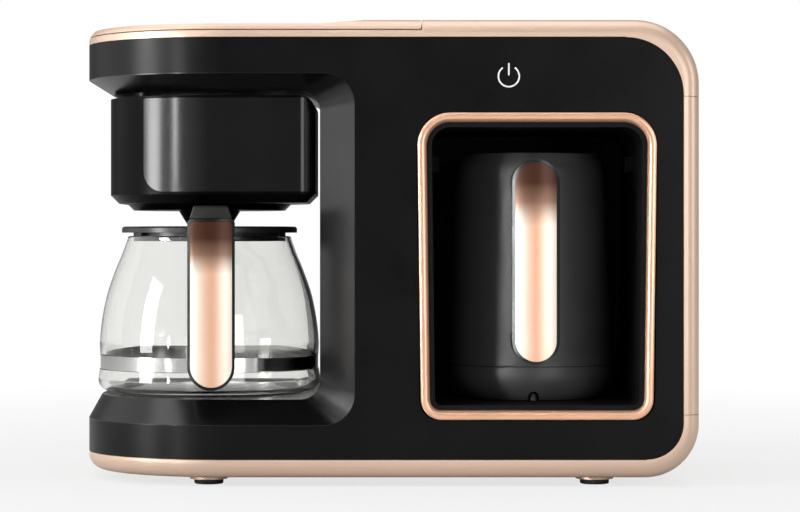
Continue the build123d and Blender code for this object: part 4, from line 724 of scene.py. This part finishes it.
class DressElectronics(bpy.types.Operator):
    """Finish the boards and the buzzer"""
    bl_idname = "coffee_maker.dress_electronics"
    bl_label = "Boards"

    def execute(self, context):
        colours = context.scene.coffee_maker_colours
        mask = moulded("solder_mask", colours.board, roughness=0.3, specular=0.5, grain=BOARD_GRAIN)
        buzzer = moulded("buzzer_dark", colours.dark_plastic, roughness=0.5, specular=0.4)
        dress(mask, "touch_board", "power_board")
        dress(buzzer, "buzzer")
        return {"FINISHED"}


class DressUnderside(bpy.types.Operator):
    """Finish the feet, the screws and the gland"""
    bl_idname = "coffee_maker.dress_underside"
    bl_label = "Feet, Screws and Gland"

    def execute(self, context):
        colours = context.scene.coffee_maker_colours
        rubber = moulded("foot_rubber", colours.rubber, roughness=0.7, specular=0.3, grain=RUBBER_GRAIN)
        screw = metal("screw_black", colours.screw_black, roughness=0.35)
        dress(rubber, "feet", "cord_inlet")
        dress(screw, "base_screws", "rear_screws")
        return {"FINISHED"}


class MakeCarafe(bpy.types.Operator):
    """Blow the glass jug, form its thumb lever and finish its band, handle, insert and lid"""
    bl_idname = "coffee_maker.make_carafe"
    bl_label = "Carafe"

    def execute(self, context):
        colours = context.scene.coffee_maker_colours
        sizes = context.scene.coffee_maker_sizes
        form = lathe(jug_outline(sizes.jug_wall, sizes.jug_base), steps=160)
        jug = new_piece("carafe_jug", form, blown_glass("jug_glass", colours.glass))
        jug.data.transform(Matrix.Translation((*JUG_AXIS, FLOOR_OF_JUG)))
        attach(jug, "carafe")
        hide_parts("carafe_glass")
        grey = moulded("lid_grey", colours.lid_grey, roughness=0.30, specular=0.4, grain=GLOSS_GRAIN)
        lever = new_piece("carafe_lever", lever_form(sizes.lever_crest), grey)
        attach(lever, "carafe")
        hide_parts("thumb_lever")
        band = metal("band_steel", colours.steel, roughness=0.12, stretch=UPRIGHT)
        handle = moulded("handle_satin", colours.satin_black, roughness=0.30, specular=0.25)
        screws = metal("carafe_screw_steel", colours.steel, roughness=0.3)
        dress(band, "carafe_band")
        dress(handle, "carafe_handle")
        dress(copper_with_painted_light("carafe_copper_painted_light", "carafe_insert", colours), "carafe_insert")
        dress(grey, "carafe_lid")
        dress(screws, "carafe_screws")
        return {"FINISHED"}


def jug_outline(wall, base):
    """Half section of the jug: out over the foot, up the wall, over the rolled rim and down inside."""
    foot = arc(JUG_FOOT_MIDDLE, JUG_FOOT_RADIUS, -90, 0, steps=10)
    outer_wall = smooth_line(JUG_WALL, steps=6)
    neck = JUG_WALL[-1][0]
    rim = arc((neck - wall / 2, JUG_RIM - wall / 2), wall / 2, 0, 180, steps=8)
    inner_wall = [(radius - wall, height) for radius, height in reversed(outer_wall[:-1])]
    inner_seat = [(radius - wall, height) for radius, height in JUG_SEAT_INSIDE]
    # The glass of the foot is about as thick as the wall.
    inner_middle = (JUG_FOOT_MIDDLE[0] - wall * 0.4, JUG_FOOT_INSIDE)
    inner_foot = arc(inner_middle, JUG_FOOT_RADIUS - wall * 0.7, 0, -90, steps=8)
    inner_floor = [(JUG_FLOOR_EDGE, base + JUG_FLOOR_RISE), (0.0, base)]
    return [*JUG_UNDERSIDE, *foot, *JUG_SEAT, *outer_wall, *rim, *inner_wall, *inner_seat, *inner_foot,
            *inner_floor]


def lever_form(crest):
    """Thumb lever that lies over the top of the handle and rises to a tapered pad at its front end."""
    low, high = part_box("thumb_lever")
    long, tall = high[1] - low[1], high[2] - low[2]
    pad = [(back, crest - drop) for back, drop in LEVER_PAD]
    side = [(0.0, 0.0), *pad, (LEVER_PAD_END, tall), (long, tall), (long, 0.0)]
    middle = Vector(((low[0] + high[0]) / 2, (low[1] + high[1]) / 2, 0.0))
    inwards = Vector((*JUG_AXIS, 0.0)) - middle
    turn = Matrix.Rotation(-math.atan2(inwards.x, inwards.y), 4, "Z")
    left, right = ([turn @ Vector((way * (LEVER_HALF_WIDTH - LEVER_TAPER * height), back, height))
                    for back, height in side] for way in (-1, 1))
    mesh = slab(left, right)
    rims = [edge for edge in mesh.edges
            if abs(edge.verts[0].co.x - edge.verts[1].co.x) < LEVER_SIDE_EDGE]
    bmesh.ops.bevel(mesh, geom=rims, offset=LEVER_ROUNDING, segments=3, profile=0.5, affect="EDGES")
    front = middle - inwards.normalized() * (long / 2 - LEVER_SETBACK)
    bmesh.ops.translate(mesh, verts=mesh.verts, vec=front + Vector((0.0, 0.0, low[2])))
    return mesh


class MakePot(bpy.types.Operator):
    """Finish the pot, its heated floor and its handle"""
    bl_idname = "coffee_maker.make_pot"
    bl_label = "Pot"

    def execute(self, context):
        colours = context.scene.coffee_maker_colours
        shell = moulded("pot_satin", colours.pot_black, roughness=0.46)
        base = moulded("pot_foot_satin", colours.pot_black, roughness=0.42)
        grip = moulded("pot_grip_satin", colours.satin_black, roughness=0.28, specular=0.4)
        lining = metal("lining_steel", colours.steel, roughness=0.28, stretch=DEEP_DRAWN)
        heater = metal("pot_heater_cast", colours.aluminium, roughness=0.5, marks=CAST_MARKS)
        sensor = moulded("sensor_pale", colours.pale_plastic, roughness=0.5, specular=0.4)
        fixings = metal("pot_fixings_steel", colours.steel, roughness=0.3)
        dress(shell, "pot_shell")
        dress(base, "pot_base")
        dress(grip, "pot_handle")
        dress(copper_with_painted_light("pot_copper_painted_light", "pot_insert", colours), "pot_insert")
        dress(lining, "pot_liner")
        dress(heater, "pot_heater")
        dress(sensor, "pot_thermistor")
        dress(fixings, "pot_contacts", "pot_screws")
        return {"FINISHED"}


class SetStudio(bpy.types.Operator):
    """Lay the floor and place the softboxes, the room light and the camera"""
    bl_idname = "coffee_maker.set_studio"
    bl_label = "Studio"

    def execute(self, context):
        colours = context.scene.coffee_maker_colours
        studio = context.scene.coffee_maker_studio
        ground = bmesh.new()
        bmesh.ops.create_grid(ground, x_segments=8, y_segments=8, size=4.0)
        new_piece("studio_floor", ground, pale_floor("floor_paper", colours.floor))
        softbox("left_softbox", studio.left_power, place=(-1.28, -0.57, 0.38), aim=(-0.1, 0.0, 0.13),
                width=0.36, height=0.9)
        softbox("front_softbox", studio.front_power, place=(-0.85, -1.05, 0.20), aim=(0.125, -0.02, 0.13),
                width=0.18, height=0.8, spread=12)
        softbox("niche_softbox", studio.niche_power, place=(0.60, -1.20, 0.18), aim=(0.086, -0.02, 0.12),
                width=0.45, height=0.7)
        softbox("right_softbox", studio.right_power, place=(1.5, -0.5, 0.5), aim=(0.1, 0.0, 0.13),
                width=0.5, height=0.9)
        softbox("top_softbox", studio.top_power, place=(0.0, 0.15, 2.2), aim=(0.0, 0.0, 0.1),
                width=2.6, height=2.0)
        light_room(studio.room_light)
        place_camera()
        return {"FINISHED"}


def pale_floor(name, colour):
    """Plain paper that keeps the object's shadow near it and runs out into white."""
    material, tree, shader = blank_finish(name)
    tree.links.new(tones(tree, pattern(tree, cells=6.0), colour, spread=0.01), shader.inputs["Base Color"])
    shader.inputs["Roughness"].default_value = 0.9
    shader.inputs["Specular IOR Level"].default_value = 0.1
    place = tree.nodes.new("ShaderNodeTexCoord")
    away = tree.nodes.new("ShaderNodeVectorMath")
    away.operation = "LENGTH"
    tree.links.new(place.outputs["Object"], away.inputs[0])
    fade = mapped(tree, away.outputs["Value"], start=0.30, end=1.0, low=0.75)
    white = tree.nodes.new("ShaderNodeEmission")
    share = reckoned(tree, "MULTIPLY", seen_ray(tree), fade)
    paper = shader_mixed(tree, share, shader.outputs["BSDF"], white.outputs["Emission"])
    tree.links.new(paper, tree.nodes["Material Output"].inputs["Surface"])
    return material


def softbox(name, power, place, aim, width, height, spread=180):
    """A rectangular soft lamp turned to a point; spread is the angle of its beam in degrees."""
    data = bpy.data.lights.new(name, "AREA")
    data.shape = "RECTANGLE"
    data.size = width
    data.size_y = height
    data.energy = power
    data.spread = math.radians(spread)
    lamp = bpy.data.objects.new(name, data)
    lamp.location = place
    lamp.rotation_euler = (Vector(aim) - Vector(place)).to_track_quat("-Z", "Y").to_euler()
    bpy.context.scene.collection.objects.link(lamp)


def light_room(strength):
    """White behind everything, and for the rest a room that is bright at the left and dim in front."""
    world = bpy.data.worlds.new("studio_room")
    world.use_nodes = True
    bpy.context.scene.world = world
    tree = world.node_tree
    place = tree.nodes.new("ShaderNodeTexCoord")
    towards = tree.nodes.new("ShaderNodeVectorMath")
    towards.operation = "DOT_PRODUCT"
    towards.inputs[1].default_value = Vector(BRIGHT_SIDE).normalized()
    tree.links.new(place.outputs["Generated"], towards.inputs[0])
    share = mapped(tree, towards.outputs["Value"], start=0.35, end=0.95)
    lit = room_light(tree, share, dim=strength * 0.9, bright=strength * 1.3)
    mirrored = room_light(tree, share, dim=0.18, bright=1.9)
    seen = room_light(tree, share, dim=1.0, bright=1.0)
    path = tree.nodes.new("ShaderNodeLightPath")
    indoors = shader_mixed(tree, path.outputs["Is Glossy Ray"], lit, mirrored)
    whole = shader_mixed(tree, seen_ray(tree), indoors, seen)
    tree.links.new(whole, tree.nodes["World Output"].inputs["Surface"])


def room_light(tree, share, dim, bright):
    """Plain light that goes from dim to bright with a share from 0 to 1."""
    light = tree.nodes.new("ShaderNodeBackground")
    light.inputs["Color"].default_value = (1.0, 1.0, 1.0, 1.0)
    tree.links.new(mapped(tree, share, 0.0, 1.0, dim, bright), light.inputs["Strength"])
    return light.outputs["Background"]


def place_camera():
    """A level camera straight in front of the machine."""
    data = bpy.data.cameras.new("studio_camera")
    data.sensor_width = 36.0
    data.lens = 121.5
    data.shift_x = 0.00375
    data.shift_y = -0.02
    camera = bpy.data.objects.new("studio_camera", data)
    camera.location = (0.0058, -1.656, 0.142)
    camera.rotation_euler = (math.radians(90), 0.0, 0.0)
    bpy.context.scene.collection.objects.link(camera)
    bpy.context.scene.camera = camera
    bpy.context.scene.view_settings.view_transform = "Standard"


# ---- panel and registration ---------------------------------------------------------------
STEPS = (DressHousing, DressFront, MakeTouchMark, MakeNicheFrame, DressNiche, DressBrewUnit, MakeDripSpring,
         DressWaterPath, DressElectronics, DressUnderside, MakeCarafe, MakePot, SetStudio)
SETTINGS = (("coffee_maker_colours", CoffeeMakerColours), ("coffee_maker_sizes", CoffeeMakerSizes),
            ("coffee_maker_studio", CoffeeMakerStudio))


class CoffeeMakerPanel(bpy.types.Panel):
    """Lists the steps and the settings of the coffee maker"""
    bl_idname = "VIEW3D_PT_coffee_maker"
    bl_label = "Coffee Maker"
    bl_space_type = "VIEW_3D"
    bl_region_type = "UI"
    bl_category = "Coffee Maker"

    def draw(self, context):
        for step in STEPS:
            self.layout.operator(step.bl_idname)
        for name, group in SETTINGS:
            settings = getattr(context.scene, name)
            for key in group.__annotations__:
                self.layout.prop(settings, key)


def register():
    """Makes the settings, the steps and the panel known to Blender."""
    for name, group in SETTINGS:
        bpy.utils.register_class(group)
        setattr(bpy.types.Scene, name, PointerProperty(type=group))
    for piece in (*STEPS, CoffeeMakerPanel):
        bpy.utils.register_class(piece)


def unregister():
    """Takes them away again."""
    for piece in (CoffeeMakerPanel, *reversed(STEPS)):
        bpy.utils.unregister_class(piece)
    for name, group in reversed(SETTINGS):
        delattr(bpy.types.Scene, name)
        bpy.utils.unregister_class(group)


def main():
    """Dresses the whole machine."""
    register()
    for step in STEPS:
        space, name = step.bl_idname.split(".")
        getattr(getattr(bpy.ops, space), name)()
    bpy.context.view_layer.update()


if __name__ == "__main__":
    main()
